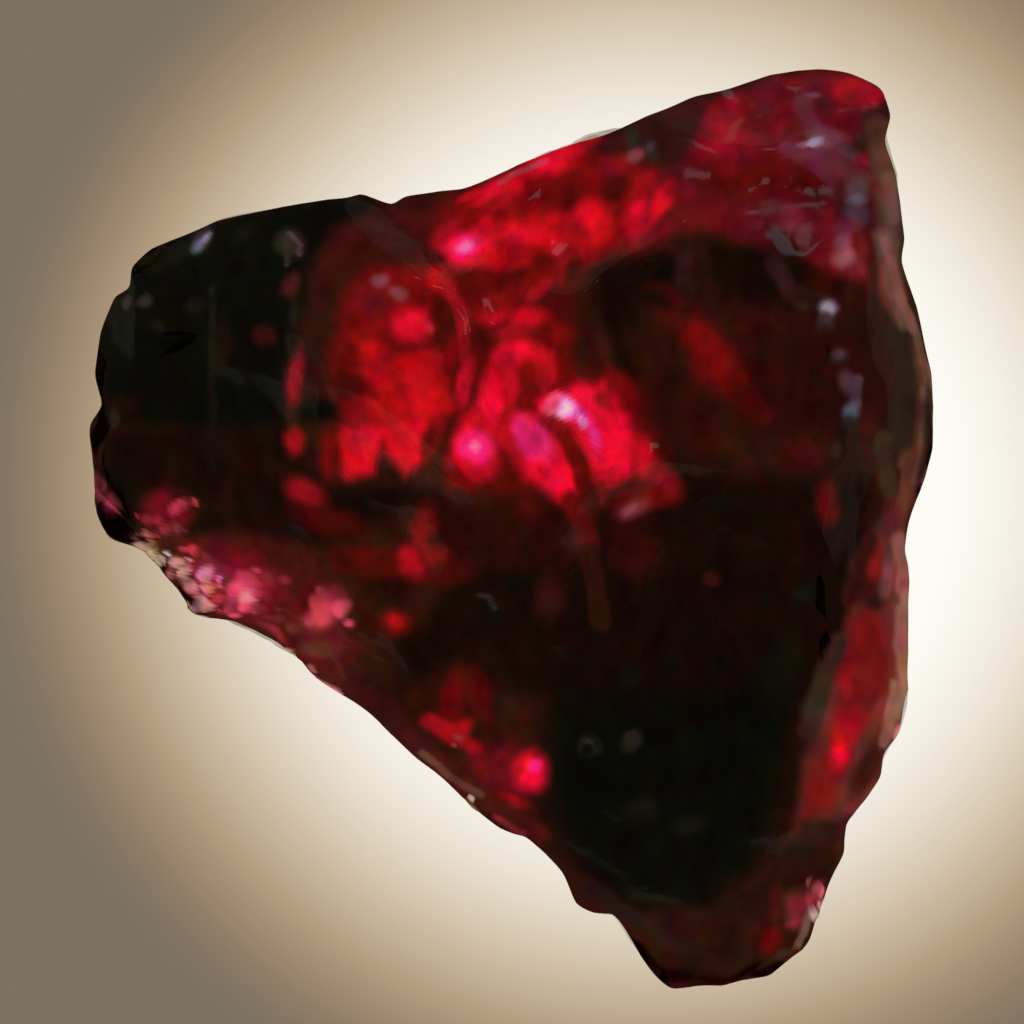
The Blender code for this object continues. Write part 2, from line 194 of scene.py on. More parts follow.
def top_sheet(x, y, inset):
    """Height of the top: the lowest of its faces and scoops, less chips, steps and notch."""
    faded = np.clip(inset / WANDER_FADE, 0, 1)
    east = x + WANDER * faded * flat_cloud(x, y, WANDER_CELL, 61)
    north = y + WANDER * faded * flat_cloud(x, y, WANDER_CELL, 67)
    height = np.full(x.shape, FAR)
    for face in TOP_FACES.values():
        height = smooth_min(height, face_height(east, north, face), FACE_BLEND)
    for scoop in SCOOPS.values():
        height = smooth_min(height, scoop_height(east, north, scoop), SCOOP_BLEND)
    height = -smooth_min(-height, -face_height(x, y, TOE_PLATE), FACE_BLEND)
    chip_east = x + CHIP_WANDER * flat_cloud(x, y, CHIP_CELL, 71)
    chip_north = y + CHIP_WANDER * flat_cloud(x, y, CHIP_CELL, 73)
    for middle_x, middle_y, radius, depth in CHIPS:
        away = ((chip_east - middle_x) ** 2 + (chip_north - middle_y) ** 2) / radius ** 2
        height = height - depth * np.maximum(1 - away, 0)
    for line, drop in STEPS:
        height = height - drop / (1 + np.exp(np.clip((east - line) / STEP_SOFTNESS, -50, 50)))
    notch_run = distance_to_line(east, north, NOTCH) / NOTCH_HALF_WIDTH
    return height - NOTCH_DEPTH * np.maximum(1 - notch_run, 0)


# ---------------------------------------------------------------------------------------------------------
# The whole stone as one closed skin: the broken top and the slanting under side are two sheets of rings that
# shrink from the edge to the middle. They share the edge ring, and the under side ends in the flat base.

CENTRE = (0.7, -0.3)            # every point of the edge is in plain sight from here
# Corners of the flat base, anticlockwise. A broken face stands on each side between them.
BASE_CORNERS = [
    (3.62, 2.12), (3.55, 3.75), (3.00, 4.28), (0.60, 3.52), (-0.70, 3.02), (-2.45, 2.78), (-3.55, 2.05),
    (-3.76, 0.36), (-2.76, -0.72), (-1.15, -1.82), (0.22, -2.82), (1.50, -4.40), (2.20, -4.47), (2.90, -4.08),
    (3.16, -3.55), (3.24, -2.94), (3.60, -1.95), (3.66, -1.20), (3.60, 0.02)]
EDGE_FADE = 0.4                 # share of the flank's height in which the edge's own bends fade out
AROUND = 640
TOP_RINGS = 118
FLANK_RINGS = 22
BASE_RINGS = 8
RING_CROWDING = 1.35            # above 1, the top's rings crowd towards the edge


def eased(value):
    """0 below 0 and 1 above 1, with 3v^2 - 2v^3 between."""
    value = np.clip(value, 0, 1)
    return value * value * (3 - 2 * value)


def ring_reach(corners, angle):
    """Where a spoke meets a straight-sided ring: the cross products (corner x side) / (spoke x side)."""
    corners = corners[np.argsort(np.arctan2(corners[:, 1], corners[:, 0]))]
    after = np.searchsorted(np.arctan2(corners[:, 1], corners[:, 0]), angle) % len(corners)
    start = corners[after - 1]
    side = corners[after] - start
    across = start[:, 0] * side[:, 1] - start[:, 1] * side[:, 0]
    return across / (np.cos(angle) * side[:, 1] - np.sin(angle) * side[:, 0])


def under_sheet(edge):
    """Rings below the edge: down broken faces to the straight-sided base, and over the base to the centre.

    The faces run between the base's corners and the edge above them. What the edge has beyond their straight
    tops fades out over EDGE_FADE of the way down, and no ring is wider than the edge.
    """
    spoke = edge[:, :2] - CENTRE
    reach = np.linalg.norm(spoke, axis=1)
    angle = np.arctan2(spoke[:, 1], spoke[:, 0])
    corners = np.array(BASE_CORNERS) - CENTRE
    corner_angle = np.arctan2(corners[:, 1], corners[:, 0])
    corner_reach = np.interp(corner_angle, angle, reach, period=2 * math.pi)
    tops = corners * (corner_reach / np.linalg.norm(corners, axis=1))[:, None]
    straight_top, base = ring_reach(tops, angle), ring_reach(corners, angle)
    down = np.linspace(0, 1, FLANK_RINGS + 1)[1:, None]
    bends_left = 1 - eased(down / EDGE_FADE)
    flank = straight_top + down * (base - straight_top) + bends_left * (reach - straight_top)
    flank = np.minimum(flank, reach)
    across = np.linspace(0, 1, BASE_RINGS + 1)[1:, None]
    way_out = np.concatenate([flank, (1 - across) * flank[-1]]) / reach
    height = np.concatenate([edge[:, 2] * (1 - down), np.zeros((BASE_RINGS, AROUND))])
    sides = [CENTRE[axis] + way_out * spoke[:, axis] for axis in (0, 1)]
    return np.stack([*sides, height], axis=-1)


def ring_faces(outer, inner):
    """Quads between two rings of vertex numbers, wound so that they face up where outer is the wider ring."""
    return np.stack([inner, np.roll(inner, -1), np.roll(outer, -1), outer], axis=1).tolist()


def stone_skin():
    """Both sheets' points, how far in and down from the edge each is, the count on top, and the faces."""
    ring = edge_ring(AROUND)
    share = 1 - np.linspace(0, 1, TOP_RINGS + 1)[:, None] ** RING_CROWDING
    x, y = (CENTRE[axis] + share * (ring[:, axis] - CENTRE[axis]) for axis in (0, 1))
    inset = distance_to_line(x, y, EDGE_POINTS + EDGE_POINTS[:1])
    inset[0] = 0
    top = np.stack([x, y, top_sheet(x, y, inset)], axis=-1)
    low = under_sheet(top[0])
    points = np.concatenate([top[:-1].reshape(-1, 3), top[-1, :1], low[:-1].reshape(-1, 3), low[-1, :1]])
    top_count = TOP_RINGS * AROUND + 1
    inset = np.concatenate([inset[:-1].ravel(), inset[-1, :1], np.zeros(len(points) - top_count)])
    below = np.concatenate([np.zeros(top_count), (top[0, :, 2] - low[..., 2]).ravel()[:1 - AROUND]])
    around = np.arange(AROUND)
    rings = [number * AROUND + around for number in range(TOP_RINGS)]
    lower_rings = FLANK_RINGS + BASE_RINGS - 1
    under = [around] + [top_count + number * AROUND + around for number in range(lower_rings)]
    faces = []
    for outer, inner in zip(rings[:-1], rings[1:]):
        faces += ring_faces(outer, inner)
    for outer, inner in zip(under[:-1], under[1:]):
        faces += ring_faces(inner, outer)
    top_middle, low_middle = np.full(AROUND, top_count - 1), np.full(AROUND, len(points) - 1)
    faces += np.stack([top_middle, np.roll(rings[-1], -1), rings[-1]], axis=1).tolist()
    faces += np.stack([low_middle, under[-1], np.roll(under[-1], -1)], axis=1).tolist()
    return points, inset, below, top_count, faces


points, inset, below, top_count, faces = stone_skin()
plain = points.copy()           # the places before any relief, which the colours go by


# ---------------------------------------------------------------------------------------------------------
# The relief of the fracture: shell-shaped dimples of three sizes that meet in crisp ridges, a little rough
# grain, ripples that spread over the black hollow, and a crust of small grains along the lower left edge.

DIMPLES = [(1.9, 0.15, 3), (0.95, 0.045, 11), (0.4, 0.012, 29)]    # cell size, depth, seed
DIMPLE_RIM = 0.55               # the squared distance at which a bowl is at its rim, in cells
GRAIN_CELL = 0.9
GRAIN_DEPTH = 0.03
RELIEF_LEVEL = 0.15             # the dimples' mean depth, given back so that the stone keeps its size
FLANK_ROUGHNESS = 0.8           # how much deeper the relief is on the flank
BASE_FADE = 0.25                # the height over which the relief comes in above the flat base
HEART = (0.3, 0.2, 1.6)         # the relief sinks towards here, flattened as the stone is
HALF_SPREAD = (4.2, 4.6, 2.2)
CRUST_LINE = [(-4.05, 0.30), (-3.45, -0.30), (-2.70, -0.85), (-1.75, -1.35)]
CRUST_HALF_WIDTH = 0.45
CRUST_END = 1.3                 # half widths from its line at which the crust has gone
CRUST_MARGIN = 0.05             # beside the edge it thins out over this
CRUST_THIN = 0.3                # to this share
CRUST_PITS = 1.6                # how deep the pits between its grains are, in its own heights
CRUST_GRAIN = 0.16              # size of its grains
CRUST_HEIGHT = 0.022
# The crust's own crumbs: how each one shows, x, y and radius. The cream ones along the edge are partly
# painted highlights.
GRAINS = [
    ("rose_dim", 2.88, -3.78, 0.12), ("rim_pink", 3.09, -3.67, 0.07), ("rose", 3.00, -3.75, 0.05),
    ("cream", 3.05, -3.88, 0.07), ("rose_dim", 2.82, -3.93, 0.06), ("cream_pink", 3.13, -3.69, 0.04),
    ("rose", -3.93, 0.22, 0.06), ("rose", -0.54, -2.05, 0.06), ("rose", -3.34, 0.22, 0.09),
    ("rose_dim", -3.63, 0.09, 0.06), ("rim_pink", -3.65, -0.06, 0.05), ("rose_dim", -3.55, 0.08, 0.05),
    ("rose_dim", -3.48, -0.02, 0.07), ("dusk_pink", -3.37, 0.00, 0.06), ("cream", -3.68, -0.17, 0.07),
    ("cream", -3.60, -0.26, 0.08), ("cream", -3.52, -0.32, 0.06), ("rose", -3.21, -0.23, 0.07),
    ("cream_pink", -3.36, -0.35, 0.07), ("cream_pink", -3.26, -0.43, 0.07),
    ("rim_pink", -3.38, -0.45, 0.05), ("cream_pink", -3.16, -0.58, 0.07), ("rim_pink", -3.11, -0.67, 0.05),
    ("cream", -3.09, -0.75, 0.08), ("cream", -3.21, -0.82, 0.05), ("cream_pink", -3.01, -0.75, 0.06),
    ("pale_pink", -3.06, -0.45, 0.09), ("cream_pink", -3.01, -0.60, 0.07), ("rose_dim", -3.07, -0.28, 0.06),
    ("rose", -2.72, -0.48, 0.09), ("hot_rose", -2.77, -0.61, 0.10), ("cream_pink", -2.65, -0.70, 0.10),
    ("rose", -2.58, -0.66, 0.07), ("hot_rose", -2.67, -0.80, 0.08), ("rose_dim", -2.48, -0.52, 0.11),
    ("rose_dim", -2.48, -0.68, 0.07), ("wine_dark", -2.32, -0.76, 0.07), ("rose", -2.92, -0.70, 0.07),
    ("rose", -2.81, -0.81, 0.06), ("rose_dim", -2.54, -0.83, 0.07), ("dusk_pink", -2.38, -0.91, 0.06),
    ("dusk_pink", -2.87, -0.53, 0.07), ("dusk_pink", -2.21, -0.99, 0.07), ("wine", -2.58, -0.34, 0.08),
    ("hot_rose", -1.69, -0.79, 0.11), ("rose", -1.99, -0.75, 0.10), ("rose", -1.86, -0.67, 0.09),
    ("rose", -2.04, -0.93, 0.07), ("rose", -1.90, -0.91, 0.09), ("rim_pink", -2.00, -1.39, 0.05),
    ("wine_dark", -1.82, -1.43, 0.05), ("cream", -2.25, -1.23, 0.07), ("cream", -2.19, -1.31, 0.05),
    ("cream", -0.40, -2.76, 0.07)]
GRAIN_RISE = 0.30               # how far a crumb stands up, in its own radii
RIPPLE_START = (2.9, -0.6)
RIPPLE_LENGTH = 0.42
RIPPLE_HEIGHT = 0.008
RIPPLE_SPREAD = 0.8             # the share of the hollow that they fill
RIPPLE_FADE = 3                 # how steeply they come in there
CRACK = [(-0.84, 2.78), (-0.60, 2.45), (-0.42, 2.07), (-0.34, 1.65), (-0.36, 1.25), (-0.50, 0.87)]
CRACK_HALF_WIDTH = 0.08
CRACK_DEPTH = 0.03


def dimple(places, seed):
    """0 at the floor of each bowl, near 1 on the ridges: squared distance to the nearest scattered spot."""
    cell = np.floor(places).astype(np.int64)
    nearest = np.full(len(places), 9.0)
    for offset in itertools.product((-1, 0, 1), repeat=3):
        other = cell + np.array(offset)
        spot = other + np.stack([lattice_value(other, seed + axis) for axis in range(3)], axis=1)
        nearest = np.minimum(nearest, ((places - spot) ** 2).sum(axis=1))
    return np.minimum(nearest / DIMPLE_RIM, 1.0)


depth = np.full(len(points), -RELIEF_LEVEL)
for cell_size, deep, seed in DIMPLES:
    depth += deep * (1 - dimple(points / cell_size, seed))
depth += GRAIN_DEPTH * (1 + cloud(points / GRAIN_CELL, 21) + 0.5 * cloud(points * 2 / GRAIN_CELL, 22))
on_top = np.arange(len(points)) < top_count
east, north = plain[:, 0], plain[:, 1]
crust = np.clip(CRUST_END - distance_to_line(east, north, CRUST_LINE) / CRUST_HALF_WIDTH, 0, 1)
crust *= np.clip(inset / CRUST_MARGIN, CRUST_THIN, 1)
depth -= CRUST_HEIGHT * crust * (1 - CRUST_PITS * dimple(points / CRUST_GRAIN, 47))
for _, x, y, radius in GRAINS:
    seat = plain[np.argmin(np.where(on_top, np.hypot(east - x, north - y), FAR))]
    depth -= GRAIN_RISE * radius * np.maximum(1 - ((plain - seat) ** 2).sum(axis=1) / radius ** 2, 0)
ripple_run = np.hypot(east - RIPPLE_START[0], north - RIPPLE_START[1])
hollow_x, hollow_y, _, hollow_wide, hollow_long, _ = SCOOPS["black_hollow"]
way_out = np.hypot((east - hollow_x) / hollow_wide, (north - hollow_y) / hollow_long)
in_hollow = np.clip(RIPPLE_FADE * (RIPPLE_SPREAD - way_out), 0, 1)
depth += RIPPLE_HEIGHT * np.sin(2 * math.pi * ripple_run / RIPPLE_LENGTH) * on_top * in_hollow
crack_run = distance_to_line(east, north, CRACK) / CRACK_HALF_WIDTH
depth += CRACK_DEPTH * on_top * np.maximum(1 - crack_run, 0)
depth *= 1 + FLANK_ROUGHNESS * np.clip(below, 0, 1)
depth *= np.clip(points[:, 2] / BASE_FADE, 0, 1)
outward = (points - HEART) / np.square(HALF_SPREAD)
outward /= np.linalg.norm(outward, axis=1, keepdims=True)
points = points - depth[:, None] * outward
points[:, 2] = np.maximum(points[:, 2], 0)
middle = (points.min(axis=0) + points.max(axis=0)) / 2
points[:, :2] -= middle[:2]


# ---------------------------------------------------------------------------------------------------------
# The colour inside the stone. Light from below comes through only where no dark veil lies in the way, so the
# stone shows black and brown with bright red windows. The black is partly painted shade, where light is
# turned away inside the stone, and small patches are painted glints, highlights and sheen. Each patch is laid
# over the ones before it.

# How each kind of patch shows with light behind it, from 0 to 1 as a screen gives it, and how frosted it is.
SEEN = {
    # the dark body and its veils, partly painted shade where light is turned away inside the stone
    "body": ((0.17, 0.060, 0.027), 0.06), "black": ((0.034, 0.031, 0.004), 0.05),
    "dark_veil_and_shade": ((0.080, 0.030, 0.004), 0.05), "haze": ((0.10, 0.044, 0.017), 0.30),
    "brown": ((0.23, 0.052, 0.039), 0.06), "umber": ((0.21, 0.062, 0.043), 0.25),
    "toe_brown": ((0.16, 0.064, 0.028), 0.25), "dusk_brown": ((0.15, 0.079, 0.050), 0.35),
    # reds, from the deepest to the brightest window
    "maroon": ((0.26, 0.035, 0.018), 0.10), "ox_red": ((0.34, 0.035, 0.028), 0.06),
    "deep_red": ((0.43, 0.036, 0.039), 0.06), "side_red": ((0.44, 0.074, 0.073), 0.15),
    "red": ((0.55, 0.055, 0.088), 0.05), "bright_red": ((0.75, 0.044, 0.11), 0.04),
    "hot_red": ((0.87, 0.045, 0.17), 0.04), "crimson": ((0.65, 0.043, 0.068), 0.08),
    "wine_dark": ((0.26, 0.071, 0.052), 0.15), "wine": ((0.36, 0.051, 0.078), 0.12),
    "wine_red": ((0.48, 0.043, 0.093), 0.12),
    # pinks, from dusk to nearly white; pale_pink is partly a painted highlight and highlight_core is one
    "dusk_pink": ((0.37, 0.15, 0.13), 0.25), "rose_dim": ((0.47, 0.12, 0.15), 0.25),
    "rose": ((0.64, 0.18, 0.24), 0.25), "hot_rose": ((0.83, 0.26, 0.35), 0.20),
    "hot_pink": ((0.94, 0.13, 0.42), 0.10), "pale_pink": ((0.88, 0.40, 0.56), 0.15),
    "highlight_core": ((0.96, 0.65, 0.81), 0.20), "cream_pink": ((0.81, 0.46, 0.45), 0.40),
    "cream": ((0.80, 0.69, 0.58), 0.45),
    # thin edges and frosted scratches, with painted light: the rim colours are mostly painted sheen of the
    # pale surroundings on steep edges, and the glints and faint sheen are painted
    "rim_brown": ((0.34, 0.19, 0.14), 0.35), "rim_tan": ((0.42, 0.28, 0.23), 0.35),
    "rim_grey": ((0.22, 0.14, 0.095), 0.35), "rim_pink": ((0.55, 0.29, 0.29), 0.35),
    "frost_pink": ((0.48, 0.23, 0.27), 0.40), "frost_wine": ((0.39, 0.14, 0.19), 0.40),
    "white_frost_and_glint": ((0.69, 0.54, 0.62), 0.45), "blue_glint": ((0.36, 0.33, 0.37), 0.45),
    "dim_frost_and_glint": ((0.19, 0.14, 0.12), 0.45), "grey_glint": ((0.30, 0.20, 0.23), 0.45),
    "faint_sheen": ((0.076, 0.065, 0.034), 0.35), "ridge_glint": ((0.54, 0.55, 0.63), 0.30),
    "plum": ((0.18, 0.074, 0.071), 0.30), "olive": ((0.16, 0.092, 0.047), 0.30),
    "rim_light": ((0.54, 0.33, 0.28), 0.35), "dark_wine": ((0.16, 0.034, 0.014), 0.08),
    # the flank below the edge, and the flat base
    "flank": ((0.40, 0.035, 0.06), 0.12), "flank_dark": ((0.16, 0.03, 0.03), 0.12),
}
BORDER_WANDER = [(0.45, 0.018, 81), (0.16, 0.012, 83), (0.07, 0.006, 85)]    # cell size, stray, seed

east, north = plain[:, 0].copy(), plain[:, 1].copy()
for cell_size, stray, seed in BORDER_WANDER:
    east += stray * flat_cloud(plain[:, 0], plain[:, 1], cell_size, seed)
    north += stray * flat_cloud(plain[:, 0], plain[:, 1], cell_size, seed + 1)
seen = np.tile(SEEN["body"][0], (len(points), 1)).astype(float)
frost = np.full(len(points), SEEN["body"][1])


def lay(tint, share):
    """Mixes a patch's colour and frost into the stone where share is above 0."""
    colour, rough = SEEN[tint]
    seen[:] += share[:, None] * (np.array(colour) - seen)
    frost[:] += share * (rough - frost)


def field(tint, soft, corners):
    """A patch with straight sides: full inside its border, and fading over soft on each side of it."""
    inside = np.zeros(len(east), bool)
    for (ax, ay), (bx, by) in zip(corners, corners[1:] + corners[:1]):
        crosses = (ay > north) != (by > north)
        inside ^= crosses & (east < ax + (north - ay) * (bx - ax) / (by - ay + 1e-12))
    distance = distance_to_line(east, north, corners + corners[:1])
    lay(tint, on_top * eased(0.5 + 0.5 * np.where(inside, distance, -distance) / soft))


def stripe(tint, half_width, route):
    """A streak along a route: full on it, and gone at one and a half times its half width."""
    lay(tint, on_top * eased(1.5 - distance_to_line(east, north, route) / half_width))


SPOT_END = 1.45                 # an oval's colour is gone here, in its own half widths
SPOT_FADE = 1.1                 # and it fades over this


def spot(tint, x, y, half_long, half_wide, turn):
    """An oval patch turned from +X by degrees: its share falls from 1 to 0 over the last SPOT_FADE of it."""
    cos, sin = math.cos(math.radians(turn)), math.sin(math.radians(turn))
    along = ((east - x) * cos + (north - y) * sin) / half_long
    across = ((north - y) * cos - (east - x) * sin) / half_wide
    lay(tint, on_top * eased((SPOT_END - np.hypot(along, across)) / SPOT_FADE))


# broad dark parts: the stone's dark body, partly painted shade where light is turned away inside it
field("black", 0.16, [(-4.21, 1.99), (-3.85, 2.62), (-3.33, 2.98), (-2.23, 3.23), (-1.31, 3.29),
    (-1.62, 2.90), (-1.91, 2.60), (-2.02, 2.23), (-2.15, 1.80), (-2.26, 1.03), (-2.71, 0.88),
    (-3.31, 1.00), (-4.02, 1.07)])
field("dark_veil_and_shade", 0.16, [(0.86, 0.38), (1.82, 0.48), (3.43, 0.48), (3.42, -0.30), (3.29, -0.90), (3.07, -1.61),
    (0.47, -1.62), (0.47, -0.91), (0.62, -0.31)])
field("black", 0.28, [(0.39, -1.32), (1.26, -1.00), (2.86, -1.11), (2.93, -1.71), (2.67, -2.65),
    (2.45, -3.33), (1.89, -3.72), (1.27, -3.76), (0.78, -3.48), (0.47, -3.05), (0.30, -2.57),
    (0.33, -1.81)])
field("dark_veil_and_shade", 0.16, [(0.82, 2.57), (1.25, 2.68), (1.75, 2.84), (1.85, 2.33), (1.30, 2.24), (1.13, 1.85),
    (1.34, 1.26), (1.73, 0.57), (2.02, 0.48), (1.83, 0.28), (1.44, 0.58), (1.05, 1.45), (0.86, 1.94)])
field("dark_veil_and_shade", 0.16, [(1.84, 2.92), (2.82, 2.72), (3.31, 2.44), (3.12, 2.25), (2.63, 2.15), (2.04, 2.25)])
field("dark_veil_and_shade", 0.12, [(-2.76, 0.66), (-2.11, 0.58), (-1.68, 0.46), (-0.71, 0.42), (-0.65, 0.28),
    (-1.12, 0.20), (-1.62, -0.04), (-2.15, -0.20), (-2.78, -0.08), (-2.93, 0.29)])
field("dark_veil_and_shade", 0.40, [(-0.43, -0.71), (0.86, -0.31), (1.83, 0.33), (3.33, 0.38), (3.40, -0.70),
    (3.25, -1.50), (0.47, -1.72), (-0.43, -1.32)])
field("dark_veil_and_shade", 0.20, [(-1.17, -1.11), (-0.72, -0.71), (-0.60, -0.43), (-0.12, -0.33), (0.39, -0.43),
    (0.49, -1.10), (0.43, -1.62), (-0.13, -1.53), (-0.43, -1.22), (-1.13, -1.62)])
field("dark_veil_and_shade", 0.18, [(-4.08, 0.98), (-2.20, 0.96), (-2.11, 0.58), (-2.76, 0.58), (-2.94, 0.24),
    (-2.64, -0.17), (-3.00, -0.12), (-3.30, -0.02), (-3.31, 0.29), (-3.48, 0.44), (-3.70, 0.33),
    (-3.82, 0.14), (-4.12, 0.48)])
field("black", 0.12, [(-4.14, 0.55), (-3.87, 0.50), (-3.71, 0.28), (-3.75, -0.01), (-3.96, -0.07),
    (-4.14, 0.18)])
field("dark_wine", 0.22, [(2.24, 2.09), (3.12, 2.07), (3.52, 1.95), (3.57, 1.27), (3.31, 0.97),
    (2.52, 0.97), (2.25, 1.46)])
field("dark_wine", 0.16, [(1.24, 1.45), (1.84, 1.54), (1.98, 0.96), (1.82, 0.61), (1.48, 0.87)])
field("dark_wine", 0.16, [(-0.71, 0.28), (0.47, 0.32), (0.59, -0.31), (0.27, -0.41), (-0.62, -0.33),
    (-1.12, -0.71), (-1.52, -0.61), (-1.33, -0.32), (-0.82, -0.11)])
field("dark_wine", 0.14, [(0.86, 0.17), (1.36, 0.17), (1.44, -0.30), (1.25, -0.50), (0.92, -0.41)])
spot("wine_dark", 0.68, -0.01, 0.24, 0.13, 75)
stripe("wine_dark", 0.08, [(0.76, -0.27), (0.83, -0.56), (0.88, -0.90)])
spot("dark_wine", 3.04, 2.45, 0.16, 0.26, 0)
# between the lobe and the notch
field("brown", 0.12, [(-1.75, 2.90), (-1.33, 3.15), (-0.62, 3.29), (-0.56, 3.00), (-0.80, 2.61),
    (-1.09, 2.40), (-1.62, 2.23), (-1.85, 1.94), (-1.92, 2.33)])
# left window
field("body", 0.16, [(-2.01, 1.84), (-1.79, 2.33), (-1.56, 2.56), (-0.81, 2.64), (-0.56, 2.25),
    (-0.38, 1.81), (-0.38, 1.27), (-0.55, 0.87), (-0.71, 0.46), (-1.76, 0.42), (-2.01, 0.78)])
field("deep_red", 0.12, [(-1.69, 2.23), (-1.42, 2.56), (-0.88, 2.57), (-0.65, 2.24), (-0.71, 1.76),
    (-1.68, 1.73)])
field("ox_red", 0.12, [(-1.77, 1.76), (-0.71, 1.80), (-0.48, 1.56), (-0.48, 1.15), (-0.81, 0.95),
    (-1.77, 0.96)])
field("crimson", 0.12, [(-1.43, 1.69), (-0.77, 1.74), (-0.56, 1.29), (-0.71, 1.01), (-1.58, 1.01),
    (-1.57, 1.23)])
field("bright_red", 0.08, [(-1.69, 0.98), (-1.18, 1.05), (-0.75, 1.11), (-0.73, 0.87), (-0.87, 0.68),
    (-1.07, 0.52), (-1.21, 0.66), (-1.27, 0.84), (-1.38, 0.54), (-1.66, 0.48), (-1.74, 0.73)])
spot("crimson", -1.35, 1.73, 0.13, 0.17, 80)
spot("maroon", -1.55, 1.40, 0.13, 0.20, 80)
spot("maroon", -0.73, 2.09, 0.26, 0.09, 85)
spot("hot_red", -0.99, 2.01, 0.19, 0.18, 20)
spot("crimson", -0.91, 1.66, 0.26, 0.09, 0)
# a small painted glint in the left window
spot("rose", -0.86, 2.00, 0.09, 0.05, -55)
spot("frost_pink", -1.29, 2.42, 0.10, 0.07, 10)
spot("frost_pink", -1.11, 2.30, 0.10, 0.07, -25)
spot("wine", -1.36, 2.23, 0.14, 0.20, 80)
spot("deep_red", -0.59, 1.74, 0.22, 0.08, 85)
spot("bright_red", -0.72, 1.24, 0.18, 0.10, -10)
spot("crimson", -0.64, 1.19, 0.09, 0.09, 0)
spot("wine_red", -2.13, 1.48, 0.32, 0.08, 80)
spot("crimson", -2.17, 0.85, 0.14, 0.10, 90)
spot("red", -2.06, 0.36, 0.24, 0.15, -30)
spot("red", -2.02, 0.34, 0.10, 0.09, 0)
spot("black", -1.95, 1.14, 0.22, 0.13, 0)
spot("umber", -2.16, 2.39, 0.09, 0.14, -30)
spot("haze", -2.83, 1.80, 0.10, 0.28, 0)
spot("umber", -2.44, 1.90, 0.12, 0.10, 0)
spot("ox_red", -1.82, 0.73, 0.12, 0.26, 0)
# top band
field("deep_red", 0.14, [(-0.76, 3.11), (-0.42, 3.37), (0.07, 3.61), (0.47, 3.81), (0.91, 3.93),
    (1.06, 3.74), (1.37, 3.63), (1.65, 3.37), (1.59, 3.07), (1.40, 2.82), (1.06, 2.71), (0.74, 2.61),
    (0.56, 2.33), (0.32, 2.22), (-0.12, 2.24), (-0.56, 2.47), (-0.71, 2.69)])
field("maroon", 0.12, [(-0.56, 2.51), (0.65, 2.63), (0.70, 2.21), (0.49, 1.77), (0.07, 1.79),
    (-0.24, 1.75), (-0.38, 2.03)])
field("ox_red", 0.10, [(0.15, 3.45), (0.47, 3.52), (0.91, 3.48), (0.87, 3.22), (0.47, 3.17), (0.17, 3.22)])
field("bright_red", 0.09, [(-0.46, 3.17), (-0.34, 3.35), (-0.12, 3.45), (0.11, 3.55), (0.11, 3.37),
    (-0.12, 3.16), (-0.32, 3.10)])
stripe("crimson", 0.10, [(0.15, 3.57), (0.35, 3.69), (0.59, 3.78), (0.80, 3.85)])
spot("bright_red", 0.40, 3.63, 0.26, 0.14, 25)
spot("bright_red", -0.09, 3.39, 0.17, 0.12, 20)
spot("wine_red", 1.01, 3.65, 0.17, 0.20, 0)
spot("maroon", 1.00, 3.38, 0.13, 0.13, 0)
field("red", 0.09, [(1.10, 3.41), (1.36, 3.58), (1.59, 3.34), (1.53, 3.08), (1.36, 2.89), (1.20, 2.83),
    (1.10, 3.00), (1.18, 3.21)])
spot("hot_red", 1.28, 3.12, 0.19, 0.13, 25)
spot("bright_red", 1.20, 3.00, 0.11, 0.13, 60)
field("crimson", 0.11, [(-0.12, 3.00), (0.47, 3.13), (0.99, 3.20), (0.97, 2.88), (0.69, 2.65),
    (0.47, 2.60), (0.27, 2.78), (-0.02, 2.77)])
spot("bright_red", 0.79, 3.13, 0.16, 0.17, 0)
spot("crimson", 0.49, 2.89, 0.30, 0.14, -5)
spot("bright_red", 0.17, 2.88, 0.24, 0.11, 4)
spot("crimson", -0.04, 2.64, 0.32, 0.13, 0)
spot("red", 0.53, 2.63, 0.14, 0.24, 0)
spot("hot_red", -0.46, 2.80, 0.32, 0.24, 12)
spot("bright_red", -0.33, 2.95, 0.15, 0.13, 50)
spot("hot_pink", -0.46, 2.79, 0.17, 0.12, 20)
spot("pale_pink", -0.48, 2.78, 0.09, 0.06, 20)
spot("ox_red", -0.30, 2.40, 0.24, 0.13, 0)
spot("ox_red", 0.32, 2.62, 0.13, 0.09, 0)
spot("deep_red", 0.08, 2.30, 0.26, 0.13, 35)
spot("deep_red", 0.28, 2.42, 0.22, 0.12, 20)
spot("bright_red", -0.22, 2.12, 0.16, 0.15, 0)
spot("bright_red", 0.17, 2.07, 0.22, 0.12, -4)
spot("red", 0.00, 1.91, 0.22, 0.09, 0)
spot("deep_red", 0.43, 1.87, 0.28, 0.13, 0)
spot("ox_red", -0.37, 2.25, 0.12, 0.20, 30)
# crack beside the left window
stripe("ox_red", 0.08, [(-0.83, 2.70), (-0.61, 2.40), (-0.45, 2.05), (-0.37, 1.74), (-0.33, 1.41),
    (-0.42, 1.17)])
spot("brown", -0.79, 2.68, 0.17, 0.10, -35)
spot("crimson", -0.72, 2.44, 0.16, 0.12, -55)
stripe("red", 0.06, [(-0.65, 2.36), (-0.54, 2.19), (-0.48, 1.95), (-0.45, 1.66)])
spot("wine_red", -0.51, 2.17, 0.12, 0.08, -70)
spot("hot_red", -0.47, 1.39, 0.20, 0.08, 85)
